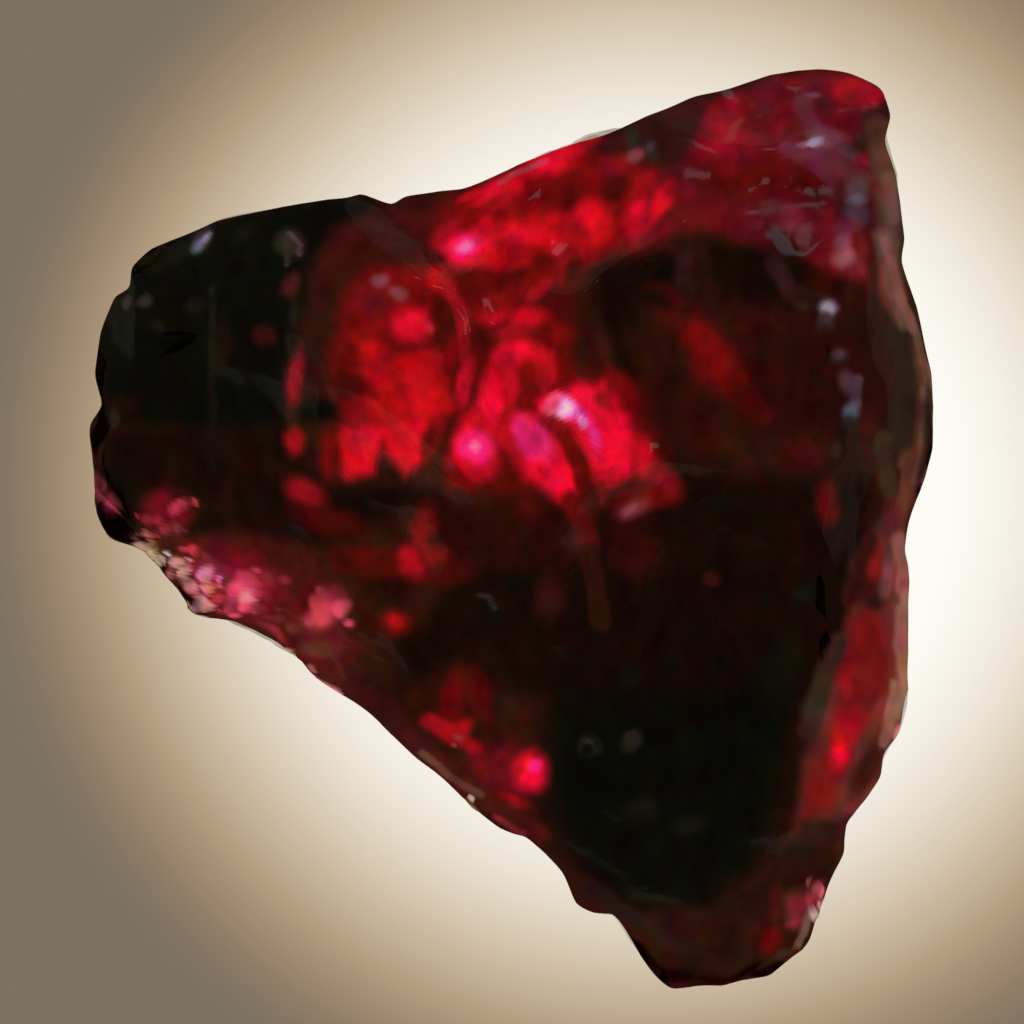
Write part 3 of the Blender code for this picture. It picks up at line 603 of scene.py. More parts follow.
# centre
field("ox_red", 0.14, [(-0.34, 1.76), (0.56, 1.80), (0.86, 1.53), (1.24, 1.37), (1.56, 0.58), (1.63, 0.34),
    (1.05, 0.18), (0.76, 0.28), (0.47, 0.28), (-0.61, 0.42), (-0.63, 0.97), (-0.42, 1.27)])
spot("ox_red", 0.86, 1.42, 0.34, 0.18, -40)
spot("deep_red", 1.03, 1.28, 0.30, 0.16, -65)
stripe("crimson", 0.11, [(-0.22, 0.99), (-0.19, 1.26), (-0.15, 1.52), (-0.09, 1.69), (0.02, 1.77),
    (0.19, 1.73), (0.30, 1.65), (0.33, 1.52)])
spot("hot_red", 0.07, 1.71, 0.26, 0.12, -8)
spot("red", 0.30, 1.48, 0.16, 0.09, 85)
spot("deep_red", 0.14, 1.40, 0.28, 0.11, 88)
spot("hot_red", -0.21, 1.22, 0.34, 0.14, 82)
spot("bright_red", -0.05, 0.97, 0.09, 0.20, -20)
field("bright_red", 0.08, [(-0.58, 0.85), (-0.51, 1.09), (-0.38, 1.17), (-0.24, 1.07), (-0.14, 0.87),
    (-0.12, 0.65), (-0.20, 0.50), (-0.37, 0.44), (-0.53, 0.48), (-0.60, 0.65)])
spot("hot_pink", -0.36, 0.80, 0.19, 0.16, -15)
spot("hot_pink", -0.38, 0.79, 0.12, 0.10, 0)
field("bright_red", 0.08, [(-0.09, 0.79), (-0.05, 1.03), (0.07, 1.14), (0.27, 1.14), (0.39, 0.97),
    (0.52, 0.75), (0.62, 0.56), (0.62, 0.36), (0.49, 0.28), (0.32, 0.38), (0.12, 0.48), (-0.02, 0.65)])
spot("hot_red", 0.47, 0.50, 0.20, 0.17, -60)
spot("hot_pink", 0.20, 0.89, 0.28, 0.14, -55)
spot("hot_pink", 0.11, 0.99, 0.11, 0.11, 0)
field("hot_red", 0.09, [(0.25, 1.26), (0.47, 1.34), (0.66, 1.42), (0.88, 1.38), (1.02, 1.26), (1.15, 1.01),
    (1.20, 0.77), (1.16, 0.52), (0.97, 0.42), (0.82, 0.51), (0.70, 0.70), (0.62, 0.90), (0.47, 1.04),
    (0.32, 1.13)])
field("hot_red", 0.10, [(0.58, 1.22), (0.86, 1.18), (1.05, 1.01), (1.13, 0.77), (1.03, 0.54), (0.86, 0.59),
    (0.74, 0.81), (0.70, 1.00)])
spot("bright_red", 1.27, 0.69, 0.24, 0.11, -80)
stripe("red", 0.09, [(0.35, 1.06), (0.50, 0.95), (0.61, 0.79), (0.72, 0.54), (0.82, 0.30)])
stripe("ox_red", 0.05, [(0.52, 0.91), (0.63, 0.75), (0.72, 0.56)])
spot("hot_red", 0.39, 1.24, 0.14, 0.10, -10)
spot("hot_pink", 0.64, 1.12, 0.20, 0.08, -52)
spot("hot_pink", 0.80, 0.87, 0.12, 0.05, -60)
spot("highlight_core", 0.49, 1.20, 0.15, 0.11, -25)
spot("pale_pink", 0.68, 1.04, 0.08, 0.04, -55)
spot("wine_red", 1.48, 0.48, 0.22, 0.12, -45)
spot("ox_red", 1.25, 0.31, 0.34, 0.13, 0)
spot("frost_wine", 1.19, 0.19, 0.18, 0.10, 20)
spot("frost_pink", 1.15, 0.19, 0.08, 0.05, 20)
spot("ox_red", 0.68, 0.44, 0.14, 0.06, -60)
spot("maroon", 0.14, 0.22, 0.16, 0.15, 0)
stripe("ox_red", 0.10, [(0.56, 0.30), (0.68, 0.07), (0.75, -0.13)])
stripe("body", 0.09, [(0.76, -0.21), (0.84, -0.56), (0.88, -0.90)])
spot("umber", 0.37, -0.69, 0.26, 0.16, 90)
# east face
stripe("maroon", 0.14, [(1.40, 2.29), (1.67, 2.10)])
spot("brown", 1.75, 2.01, 0.26, 0.18, -35)
spot("deep_red", 1.87, 1.86, 0.26, 0.17, -35)
spot("deep_red", 1.85, 1.90, 0.14, 0.11, -35)
spot("deep_red", 1.99, 1.60, 0.32, 0.21, -62)
spot("ox_red", 2.22, 1.38, 0.19, 0.15, -50)
stripe("maroon", 0.12, [(2.27, 1.30), (2.43, 1.13)])
spot("brown", 2.79, 0.71, 0.26, 0.14, 0)
spot("ox_red", 3.09, 0.26, 0.26, 0.13, 85)
spot("umber", 3.52, 0.97, 0.30, 0.14, 85)
spot("body", 0.76, 1.75, 0.20, 0.30, 0)
spot("haze", 2.62, 2.58, 0.15, 0.17, 0)
stripe("toe_brown", 0.07, [(1.57, 2.84), (1.69, 2.63), (1.77, 2.33)])
spot("haze", 1.40, 2.25, 0.20, 0.12, -20)
spot("rim_grey", 2.95, 2.23, 0.18, 0.08, 10)
# wine face, with painted glints among its frosted scratches
field("wine", 0.10, [(1.26, 2.87), (1.40, 3.46), (1.77, 4.15), (2.56, 4.46), (3.17, 4.55), (3.54, 4.42),
    (3.71, 4.25), (3.62, 3.60), (3.56, 2.93), (3.46, 2.38), (3.12, 2.52), (2.82, 2.72), (1.84, 2.96)])
field("wine_red", 0.12, [(1.80, 4.05), (1.93, 4.24), (2.26, 4.35), (2.32, 4.15), (2.33, 3.82),
    (2.45, 3.64), (1.75, 3.59), (1.67, 3.73)])
field("wine", 0.14, [(2.29, 4.24), (2.74, 4.38), (2.88, 4.13), (2.77, 3.86), (2.41, 3.94)])
field("ox_red", 0.16, [(1.85, 3.51), (2.43, 3.60), (2.92, 3.58), (3.18, 3.37), (3.05, 3.22), (2.47, 3.25),
    (1.94, 3.31)])
field("wine", 0.12, [(2.53, 3.11), (3.16, 3.26), (3.20, 2.83), (3.15, 2.62), (2.82, 2.74)])
field("red", 0.08, [(3.13, 4.35), (3.38, 4.49), (3.60, 4.37), (3.71, 4.22), (3.49, 4.08), (3.28, 4.12),
    (3.17, 4.19)])
spot("wine", 3.26, 4.02, 0.20, 0.16, -40)
spot("wine", 3.03, 4.35, 0.11, 0.12, 0)
spot("wine_dark", 3.05, 4.14, 0.10, 0.13, 0)
field("umber", 0.08, [(3.40, 4.08), (3.73, 4.21), (3.64, 3.68), (3.48, 3.50), (3.28, 3.69), (3.41, 3.89)])
spot("wine_red", 3.40, 3.60, 0.10, 0.09, 0)
spot("frost_pink", 2.94, 4.27, 0.08, 0.03, 0)
stripe("frost_wine", 0.07, [(2.85, 4.22), (2.89, 4.02), (2.97, 3.87)])
spot("frost_pink", 2.99, 3.83, 0.24, 0.09, 4)
spot("white_frost_and_glint", 2.95, 3.77, 0.16, 0.05, 6)
spot("rose_dim", 3.21, 3.81, 0.10, 0.07, -20)
stripe("frost_wine", 0.06, [(2.67, 3.72), (2.86, 3.62), (3.14, 3.41)])
stripe("frost_wine", 0.04, [(3.01, 3.69), (3.21, 3.57), (3.36, 3.46)])
stripe("frost_wine", 0.05, [(2.91, 3.67), (3.15, 3.52), (3.31, 3.40)])
field("umber", 0.08, [(3.17, 3.39), (3.44, 3.40), (3.56, 3.21), (3.50, 2.95), (3.22, 2.92), (3.18, 3.17)])
spot("grey_glint", 3.36, 3.33, 0.14, 0.11, -60)
spot("blue_glint", 3.37, 3.22, 0.09, 0.06, 0)
spot("grey_glint", 3.37, 3.08, 0.14, 0.11, 0)
spot("frost_wine", 3.28, 2.96, 0.14, 0.08, 10)
spot("frost_pink", 3.23, 2.81, 0.09, 0.12, -20)
spot("rose_dim", 3.32, 2.60, 0.18, 0.11, -45)
spot("rim_pink", 3.24, 2.67, 0.12, 0.09, 0)
spot("dusk_pink", 2.55, 3.15, 0.12, 0.08, 0)
spot("rose_dim", 2.74, 3.06, 0.13, 0.10, 20)
stripe("rose_dim", 0.03, [(2.27, 4.04), (2.19, 3.95), (2.13, 3.81)])
field("umber", 0.08, [(0.73, 3.74), (1.27, 4.09), (2.00, 4.33), (1.90, 4.08), (1.74, 3.72), (1.69, 3.59),
    (1.31, 3.56), (1.10, 3.70)])
spot("dim_frost_and_glint", 1.18, 3.86, 0.16, 0.06, -75)
spot("frost_pink", 1.21, 3.68, 0.08, 0.07, 0)
spot("dim_frost_and_glint", 1.36, 3.71, 0.14, 0.06, -70)
spot("grey_glint", 1.35, 3.75, 0.05, 0.05, 0)
stripe("plum", 0.08, [(2.59, 2.62), (2.73, 2.33), (2.91, 2.27), (3.04, 2.21)])
spot("plum", 1.69, 2.57, 0.22, 0.09, 80)
# lip on the right edge: painted sheen, the pale surroundings mirrored in its steep wall
stripe("rim_brown", 0.13, [(3.57, 3.90), (3.64, 3.55), (3.69, 2.93), (3.75, 2.36), (3.91, 1.97),
    (4.02, 1.48), (4.02, 0.88), (3.86, 0.38), (3.73, 0.04)])
stripe("dusk_brown", 0.12, [(3.83, 1.92), (3.89, 1.52), (3.86, 0.98)])
stripe("rim_brown", 0.08, [(3.55, 3.94), (3.61, 3.70)])
stripe("rim_tan", 0.08, [(3.66, 3.40), (3.72, 3.06)])
stripe("dusk_pink", 0.08, [(3.62, 2.91), (3.68, 2.63), (3.74, 2.26)])
spot("rim_tan", 3.76, 2.71, 0.14, 0.05, 85)
stripe("rim_tan", 0.03, [(3.89, 2.27), (4.03, 1.93), (4.13, 1.56)])
stripe("umber", 0.05, [(3.80, 0.58), (3.71, 0.28), (3.66, -0.01)])
stripe("olive", 0.13, [(3.79, 1.87), (3.88, 1.43), (3.86, 0.90)])
stripe("rim_grey", 0.09, [(3.67, 0.88), (3.68, 0.62), (3.72, 0.38)])
stripe("rim_tan", 0.04, [(3.86, 2.30), (4.02, 1.94), (4.13, 1.48), (4.15, 0.88), (4.04, 0.48)])
stripe("rim_tan", 0.09, [(3.66, 2.87), (3.76, 2.42), (3.88, 2.05)])
# side strip
field("dusk_pink", 0.09, [(3.74, 0.28), (3.84, -0.16), (3.90, -0.71), (3.94, -1.72), (3.83, -2.13),
    (3.69, -2.62), (3.30, -2.87), (3.29, -3.44), (2.91, -3.68), (2.73, -3.21), (2.78, -2.59),
    (2.97, -2.02), (3.20, -1.32), (3.33, -0.82), (3.42, -0.30), (3.59, 0.09)])
field("side_red", 0.09, [(3.33, -0.88), (3.49, -0.76), (3.66, -0.90), (3.74, -1.19), (3.65, -1.60),
    (3.54, -1.84), (3.37, -2.05), (3.23, -2.15), (3.11, -2.07), (3.19, -1.72), (3.22, -1.30)])
spot("side_red", 3.52, -0.36, 0.26, 0.12, 82)
spot("wine_dark", 3.42, -0.60, 0.14, 0.14, 0)
field("side_red", 0.09, [(3.02, -2.16), (3.27, -2.08), (3.33, -2.29), (3.18, -2.48), (3.14, -2.84),
    (2.86, -2.82), (2.80, -2.56), (2.92, -2.29)])
spot("red", 3.30, -1.93, 0.24, 0.13, 70)
spot("bright_red", 3.19, -2.21, 0.17, 0.11, 80)
spot("hot_red", 3.20, -2.19, 0.09, 0.06, 80)
spot("umber", 3.47, -2.35, 0.30, 0.12, 60)
# painted sheen on the steep rim of the side strip
stripe("rim_light", 0.08, [(3.78, -0.11), (3.85, -0.71), (3.85, -1.20), (3.87, -1.61), (3.74, -1.82)])
spot("cream_pink", 3.79, -2.00, 0.08, 0.07, 45)
spot("rim_brown", 3.75, -0.71, 0.08, 0.07, 0)
spot("umber", 3.57, -0.71, 0.12, 0.09, 0)
# painted sheen along the ridge above the side strip
stripe("rim_grey", 0.09, [(3.23, -1.10), (3.13, -1.38), (3.03, -1.71), (2.94, -2.00)])
field("toe_brown", 0.12, [(2.80, -2.84), (3.27, -2.87), (3.29, -3.40), (3.06, -3.68), (2.76, -3.62),
    (2.71, -3.21)])
stripe("umber", 0.07, [(3.48, -0.11), (3.38, -0.36), (3.32, -0.70)])
# toe
field("toe_brown", 0.09, [(0.55, -3.36), (0.90, -3.66), (1.27, -3.84), (1.90, -3.77), (2.51, -3.37),
    (2.76, -3.15), (3.31, -3.23), (3.23, -3.60), (2.98, -4.17), (2.58, -4.54), (1.55, -4.63),
    (1.24, -4.16), (0.87, -3.80)])
field("brown", 0.10, [(0.71, -3.47), (1.04, -3.70), (1.43, -3.98), (1.28, -4.14), (0.97, -3.88),
    (0.66, -3.61)])
stripe("dusk_brown", 0.09, [(0.74, -3.50), (1.17, -3.87), (1.48, -4.09), (1.87, -4.21)])
spot("body", 2.20, -3.96, 0.42, 0.16, 0)
spot("body", 2.47, -3.60, 0.26, 0.16, 40)
spot("ox_red", 2.58, -4.10, 0.15, 0.14, 0)
stripe("umber", 0.06, [(1.57, -4.62), (2.07, -4.53), (2.59, -4.46), (2.87, -4.15)])
spot("wine_dark", 2.64, -3.72, 0.16, 0.09, 80)
field("dusk_pink", 0.08, [(2.73, -3.68), (2.98, -3.63), (3.15, -3.62), (3.10, -3.87), (2.94, -4.01),
    (2.76, -3.98)])
spot("dim_frost_and_glint", 2.73, -4.23, 0.09, 0.04, 10)
# black hollow: faint painted glints and sheen on it
spot("faint_sheen", 2.69, -1.33, 0.34, 0.18, 70)
spot("faint_sheen", 1.74, -2.91, 0.20, 0.10, 0)
spot("faint_sheen", 1.24, -2.75, 0.20, 0.12, 0)
spot("faint_sheen", 1.18, -1.46, 0.12, 0.10, 0)
spot("haze", 2.83, -0.01, 0.30, 0.09, 80)
spot("faint_sheen", 2.91, -0.63, 0.14, 0.08, 0)
spot("umber", 1.99, -0.51, 0.10, 0.09, 0)
spot("dim_frost_and_glint", 1.17, -2.08, 0.12, 0.09, 20)
spot("dim_frost_and_glint", 0.76, -2.13, 0.11, 0.10, 0)
spot("black", 0.74, -2.16, 0.07, 0.06, 0)
stripe("faint_sheen", 0.02, [(0.73, -2.05), (0.81, -2.07), (0.83, -2.14)])
stripe("dim_frost_and_glint", 0.02, [(1.11, -2.02), (1.19, -2.04), (1.24, -2.10)])
# left lobe: painted glints and faint sheen on its black
spot("dim_frost_and_glint", -3.08, 2.85, 0.16, 0.10, 50)
spot("blue_glint", -3.12, 2.79, 0.07, 0.06, 50)
spot("blue_glint", -3.03, 2.87, 0.07, 0.04, 50)
spot("dim_frost_and_glint", -2.16, 2.79, 0.16, 0.14, -30)
stripe("grey_glint", 0.02, [(-2.18, 2.88), (-2.12, 2.85), (-2.06, 2.76), (-2.09, 2.69)])
stripe("dim_frost_and_glint", 0.02, [(-2.23, 2.74), (-2.19, 2.67), (-2.22, 2.59)])
spot("dim_frost_and_glint", -3.58, 2.24, 0.08, 0.06, 20)
spot("dim_frost_and_glint", -3.78, 2.23, 0.06, 0.07, 0)
spot("faint_sheen", -3.45, 1.97, 0.07, 0.09, 20)
spot("faint_sheen", -3.39, 2.71, 0.26, 0.13, 35)
spot("faint_sheen", -2.60, 2.90, 0.16, 0.08, 40)
spot("faint_sheen", -3.09, 2.19, 0.12, 0.08, 0)
stripe("faint_sheen", 0.03, [(-2.94, 2.34), (-2.92, 1.75), (-2.97, 1.08), (-3.01, 0.59)])
spot("haze", -3.87, 1.19, 0.24, 0.12, 20)
spot("dim_frost_and_glint", -3.92, 1.09, 0.09, 0.05, 75)
stripe("dusk_pink", 0.08, [(-4.16, 0.47), (-4.01, 0.31), (-3.93, 0.19)])
spot("haze", -3.00, 0.83, 0.22, 0.16, 0)
# lower flank
spot("deep_red", -0.91, 0.00, 0.28, 0.12, 75)
spot("red", -0.99, -0.33, 0.22, 0.19, -20)
spot("deep_red", -0.79, -0.26, 0.20, 0.12, 0)
spot("crimson", -1.05, -0.32, 0.12, 0.12, 0)
spot("deep_red", -1.18, -0.93, 0.15, 0.14, 0)
spot("crimson", -1.18, -0.92, 0.08, 0.08, 0)
spot("ox_red", -1.49, -0.34, 0.16, 0.12, 0)
stripe("maroon", 0.15, [(-1.69, -0.30), (-1.29, -0.34)])
spot("maroon", -0.62, -0.46, 0.24, 0.14, 0)
spot("haze", -0.27, -0.77, 0.26, 0.24, 0)
stripe("dim_frost_and_glint", 0.02, [(-0.33, -0.67), (-0.23, -0.69), (-0.17, -0.79)])
spot("maroon", -1.83, 0.08, 0.40, 0.16, -10)
spot("ox_red", -0.60, -1.70, 0.32, 0.13, 80)
spot("ox_red", -0.32, -1.67, 0.28, 0.11, -72)
stripe("red", 0.09, [(-0.82, -1.92), (-0.66, -1.99), (-0.51, -2.06)])
spot("crimson", -0.38, -2.14, 0.11, 0.09, -30)
field("wine", 0.13, [(-0.45, -2.19), (0.00, -2.07), (0.22, -2.28), (0.16, -2.60), (-0.06, -2.74),
    (-0.33, -2.58)])
spot("hot_red", 0.19, -2.39, 0.21, 0.17, 85)
spot("hot_pink", 0.22, -2.33, 0.07, 0.06, 60)
spot("crimson", 0.00, -2.69, 0.17, 0.09, -15)
stripe("wine_dark", 0.11, [(-0.93, -2.17), (-0.56, -2.47), (-0.11, -2.74), (0.24, -3.02)])
stripe("umber", 0.16, [(-1.68, -1.62), (-1.32, -1.89), (-0.96, -2.14)])
stripe("rim_brown", 0.04, [(-0.87, -2.23), (-0.61, -2.45), (-0.31, -2.61)])
stripe("rose_dim", 0.03, [(-0.13, -2.83), (0.00, -2.90), (0.12, -2.96)])
# granular band
field("wine_dark", 0.14, [(-3.63, -0.12), (-3.35, -0.17), (-2.85, -0.02), (-2.15, -0.17), (-1.60, -0.56),
    (-1.61, -1.62), (-2.21, -1.21), (-2.61, -0.96), (-3.02, -0.82), (-3.32, -0.46)])
field("wine", 0.12, [(-3.26, -0.17), (-3.00, -0.12), (-2.53, -0.32), (-2.31, -0.52), (-2.30, -0.92),
    (-2.61, -0.91), (-2.98, -0.79), (-3.18, -0.51)])
spot("wine", -1.93, -1.18, 0.32, 0.18, 0)
field("wine", 0.10, [(-3.67, 0.26), (-3.49, 0.39), (-3.28, 0.31), (-3.22, 0.14), (-3.37, -0.08),
    (-3.55, 0.00), (-3.64, 0.09)])
spot("rose", -1.91, -0.79, 0.27, 0.19, 40)
spot("dusk_pink", -1.92, -1.20, 0.24, 0.09, 0)
# painted highlight along the thin edge
stripe("rim_pink", 0.03, [(-2.12, -1.40), (-1.95, -1.52), (-1.77, -1.62)])
stripe("cream_pink", 0.02, [(-2.06, -1.46), (-1.91, -1.56), (-1.73, -1.66)])
stripe("cream", 0.03, [(-0.49, -2.70), (-0.41, -2.78)])
# painted glints on the beads of the east ridge
spot("dim_frost_and_glint", 3.09, 2.03, 0.09, 0.10, 0)
spot("ridge_glint", 3.11, 2.16, 0.09, 0.08, 0)
spot("grey_glint", 3.08, 2.07, 0.07, 0.06, 0)
spot("dim_frost_and_glint", 3.20, 1.69, 0.09, 0.09, 0)
spot("grey_glint", 3.20, 1.71, 0.05, 0.05, 0)
stripe("grey_glint", 0.05, [(3.36, 1.46), (3.35, 1.22)])
spot("blue_glint", 3.32, 1.14, 0.09, 0.09, 70)
spot("dim_frost_and_glint", 3.31, 1.03, 0.08, 0.08, 0)
spot("dim_frost_and_glint", 3.19, 0.75, 0.06, 0.08, 0)
# painted sheen along the thin pale lip of the right rim and the toe
stripe("rim_light", 0.06, [(3.75, -1.52), (3.71, -1.80), (3.64, -2.09)])
stripe("rim_light", 0.05, [(3.66, 2.83), (3.75, 2.57), (3.86, 2.26), (3.98, 1.98)])
stripe("rim_tan", 0.04, [(4.09, 1.38), (4.11, 1.08), (4.05, 0.73), (3.98, 0.48)])
spot("frost_pink", 3.65, -0.50, 0.22, 0.07, 85)
stripe("rim_tan", 0.04, [(2.85, -4.15), (2.94, -3.99), (3.01, -3.85)])
stripe("rim_grey", 0.04, [(2.50, -4.41), (2.62, -4.33), (2.73, -4.23)])
spot("rim_light", 3.00, -3.77, 0.09, 0.05, 20)
# lights and shades among the crumbs of the crust
spot("umber", -3.45, -0.24, 0.09, 0.06, -26)
spot("rim_brown", -3.59, -0.18, 0.07, 0.05, -28)
spot("rose_dim", -3.00, -0.44, 0.22, 0.10, -24)
spot("rim_light", -3.25, -0.51, 0.08, 0.04, -48)
spot("cream_pink", -3.05, -0.72, 0.08, 0.05, -46)
spot("rose", -2.79, -0.71, 0.08, 0.07, 0)
spot("body", -3.30, 0.30, 0.19, 0.07, -25)
spot("rose", -3.39, 0.18, 0.08, 0.05, 47)
spot("wine", -2.62, -0.38, 0.14, 0.10, 84)
spot("rose", -2.67, -0.60, 0.15, 0.09, 71)
spot("maroon", -2.08, -0.70, 0.20, 0.08, 60)
spot("wine_dark", -1.63, -0.98, 0.11, 0.08, 57)
spot("hot_rose", -1.73, -0.82, 0.10, 0.06, -86)
spot("rose_dim", -2.39, -1.03, 0.16, 0.04, -37)
spot("frost_pink", -3.93, 0.25, 0.10, 0.05, -84)
# dark flecks and bright bars in the red band below the notch
stripe("rose", 0.03, [(-0.12, 3.43), (0.08, 3.53), (0.31, 3.62)])
spot("bright_red", 1.44, 3.21, 0.24, 0.10, 64)
spot("deep_red", -0.37, 3.07, 0.28, 0.08, 35)
spot("bright_red", -0.43, 3.28, 0.13, 0.05, 23)
spot("deep_red", -0.19, 2.21, 0.11, 0.09, -41)
spot("red", 0.26, 2.33, 0.16, 0.07, 41)
spot("maroon", 0.61, 2.53, 0.16, 0.09, 72)
spot("ox_red", 0.30, 3.37, 0.14, 0.08, 0)
spot("maroon", 1.06, 3.40, 0.13, 0.09, 0)
# dark slits and bright edges of the windows
spot("hot_red", -0.90, 1.98, 0.08, 0.07, 0)
spot("ox_red", -0.81, 0.85, 0.24, 0.08, 78)
spot("ox_red", 0.54, 0.76, 0.22, 0.06, -62)
spot("hot_pink", 0.23, 0.85, 0.14, 0.11, -60)
spot("hot_rose", 0.40, 1.22, 0.13, 0.08, 42)
spot("ox_red", -0.50, 0.50, 0.18, 0.08, -43)
spot("red", 0.90, 1.23, 0.13, 0.07, -51)
spot("maroon", 0.76, 0.34, 0.26, 0.09, -73)
spot("bright_red", -0.03, 1.44, 0.30, 0.09, 90)
spot("bright_red", -0.45, 1.43, 0.28, 0.07, 76)
spot("hot_red", 0.20, 0.61, 0.15, 0.09, -50)
spot("red", -1.62, 0.83, 0.14, 0.08, -36)
spot("red", 0.07, -2.37, 0.13, 0.07, 73)
spot("crimson", -0.55, -1.99, 0.18, 0.09, 33)
spot("pale_pink", -0.36, 0.79, 0.06, 0.05, 0)
spot("hot_pink", 0.18, 0.80, 0.14, 0.11, -60)
spot("crimson", -0.76, 1.29, 0.12, 0.10, 0)
# last scratches and shades on the wine face, and a painted glint on the east ridge
spot("dark_wine", 2.69, 2.79, 0.22, 0.10, -33)
spot("frost_pink", 3.10, 3.78, 0.12, 0.08, 17)
spot("wine", 2.82, 3.81, 0.09, 0.06, 0)
spot("grey_glint", 3.28, 1.42, 0.14, 0.08, -74)
# the crumbs of the crust, each with a smaller one beside it
CRUMB_LONG, CRUMB_WIDE, CRUMB_TURN = 0.9, 0.7, 50       # in its own radii, and degrees from one to the next
CHILD_AWAY, CHILD_SIZE, CHILD_TURN = 1.5, 0.4, 2.4      # in its own radii, and radians from one to the next
for number, (tint, x, y, radius) in enumerate(GRAINS):
    spot(tint, x, y, CRUMB_LONG * radius, CRUMB_WIDE * radius, CRUMB_TURN * number)
    away, size, turn = CHILD_AWAY * radius, CHILD_SIZE * radius, CHILD_TURN * number
    spot(tint, x + away * math.cos(turn), y + away * math.sin(turn), size, size, 0)

# The whole of the top is a little cloudy, in patches of three sizes.
CLOUDING = [(0.80, 0.10, 91), (0.30, 0.14, 92), (0.11, 0.12, 93)]          # patch size, share, seed
for patch, share, seed in CLOUDING:
    seen *= 1 + share * cloud(plain / patch, seed)[:, None]

# The flank is broken too: dark blood red, mottled, and streaked down its height.
FLANK_CLOUD = (0.5, 0.5, 1.4)   # size of the streaks across and down
FLANK_MOTTLE = 0.18
on_flank = ~on_top & (plain[:, 2] > 0)
dark_share = eased(0.5 + 0.9 * cloud(plain / FLANK_CLOUD, 95) + 0.5 * cloud(plain / FLANK_MOTTLE, 96))
lay("flank", on_flank.astype(float))
lay("flank_dark", on_flank * dark_share)


# ---------------------------------------------------------------------------------------------------------
# Painite itself: a clear red boro-aluminate that bends light strongly. The patches above are carried on the
# mesh as the tint of its skin, and the clear stone between takes out green and blue light on the way.

CLEAR_SHARE = 0.92              # what the two polished faces let through
UNDER_TINT = (0.95, 0.80, 0.85) # the skin of the flat base
PAINITE_IOR = 1.80
CLEAR_COLOUR = (0.95, 0.05, 0.35)
CLEAR_DENSITY = 110.0           # of the colour in the clear stone, a metre
CRISP_ANGLE = 45                # faces that meet more steeply than this keep a hard edge, in degrees


def screen_to_light(colour):
    """Screen values to amounts of light: (c + 0.055) / 1.055 to the power 2.4."""
    return ((colour + 0.055) / 1.055) ** 2.4


# The light that the stone lies on is brightest below its right half, and it fades further out: the red of it
# last and the blue first.
GLOW_MIDDLE = (1.4, 0.4)
GLOW_REACH = (2.8, 6.9)         # where it starts to fade, and where it has faded
GLOW_NEAR = np.array((0.975, 0.965, 0.910))
GLOW_FAR = np.array((0.194, 0.168, 0.124))
GLOW_FALL = np.array((0.77, 1.07, 1.45))

glow_run = np.hypot(plain[:, 0] - GLOW_MIDDLE[0], plain[:, 1] - GLOW_MIDDLE[1])
glow_left = 1 - eased((glow_run - GLOW_REACH[0]) / (GLOW_REACH[1] - GLOW_REACH[0]))[:, None]
lit_below = GLOW_FAR + (GLOW_NEAR - GLOW_FAR) * glow_left ** GLOW_FALL
clear_stone = np.exp(-points[:, 2:] * MM * CLEAR_DENSITY * (1 - np.array(CLEAR_COLOUR)))
through = screen_to_light(seen) / (lit_below * clear_stone * CLEAR_SHARE * np.sqrt(UNDER_TINT))
tint = np.clip(through, 0, 1) ** 2
tint[on_flank] = screen_to_light(seen[on_flank])
tint[~on_top & ~on_flank] = UNDER_TINT

mesh = bpy.data.meshes.new("painite_stone")
mesh.from_pydata((points * MM).tolist(), [], faces)
mesh.update()
mesh.attributes.new("tint", "FLOAT_COLOR", "POINT").data.foreach_set(
    "color", np.column_stack([tint, np.ones(len(tint))]).astype(np.float32).ravel())
mesh.attributes.new("frost", "FLOAT", "POINT").data.foreach_set("value", frost.astype(np.float32))
mesh.shade_smooth()
mesh.set_sharp_from_angle(angle=math.radians(CRISP_ANGLE))
stone = bpy.data.objects.new("painite_stone", mesh)
bpy.context.scene.collection.objects.link(stone)


class Socket:
    """A node's output, or a tree with none yet. Python's power operator on it adds a Math node."""

    def __init__(self, tree, link=None):
        self.tree, self.link = tree, link

    def node(self, kind, settings, inputs, output=0):
        """Adds a node: its settings, with a ramp's stops among them, then its inputs as values or sockets."""
        made = self.tree.nodes.new(kind)
        for name, value in settings.items():
            if name == "stops":
                made.color_ramp.interpolation = "EASE"
                for stop, (position, colour) in zip(made.color_ramp.elements, value):
                    stop.position, stop.color = position, colour
            else:
                setattr(made, name, value)
        for name, value in inputs.items():
            if isinstance(value, Socket):
                self.tree.links.new(value.link, made.inputs[name])
            else:
                made.inputs[name].default_value = value
        return Socket(self.tree, made.outputs[output] if made.outputs else None)

    def math(self, operation, first, second):
        return self.node("ShaderNodeMath", {"operation": operation}, {0: first, 1: second})

    def __pow__(self, other): return self.math("POWER", self, other)
    def __rpow__(self, other): return self.math("POWER", other, self)


SKIN_RIPPLES = 5500.0           # a metre
SKIN_RIPPLE_HEIGHT = 0.00002
SKIN_RIPPLE_SHARE = 0.12
FIBRES = (4200, 2100, 4200)     # a metre along each axis: the dark veins in the stone run along Y
FIBRE_GAIN, FIBRE_FLOOR = (2.4, 3.2, 3.2), (-0.2, -0.6, -0.6)   # together they keep a mean of 1
SKIN_SHINE = (0.12, 0.12, 0.12, 1.0)

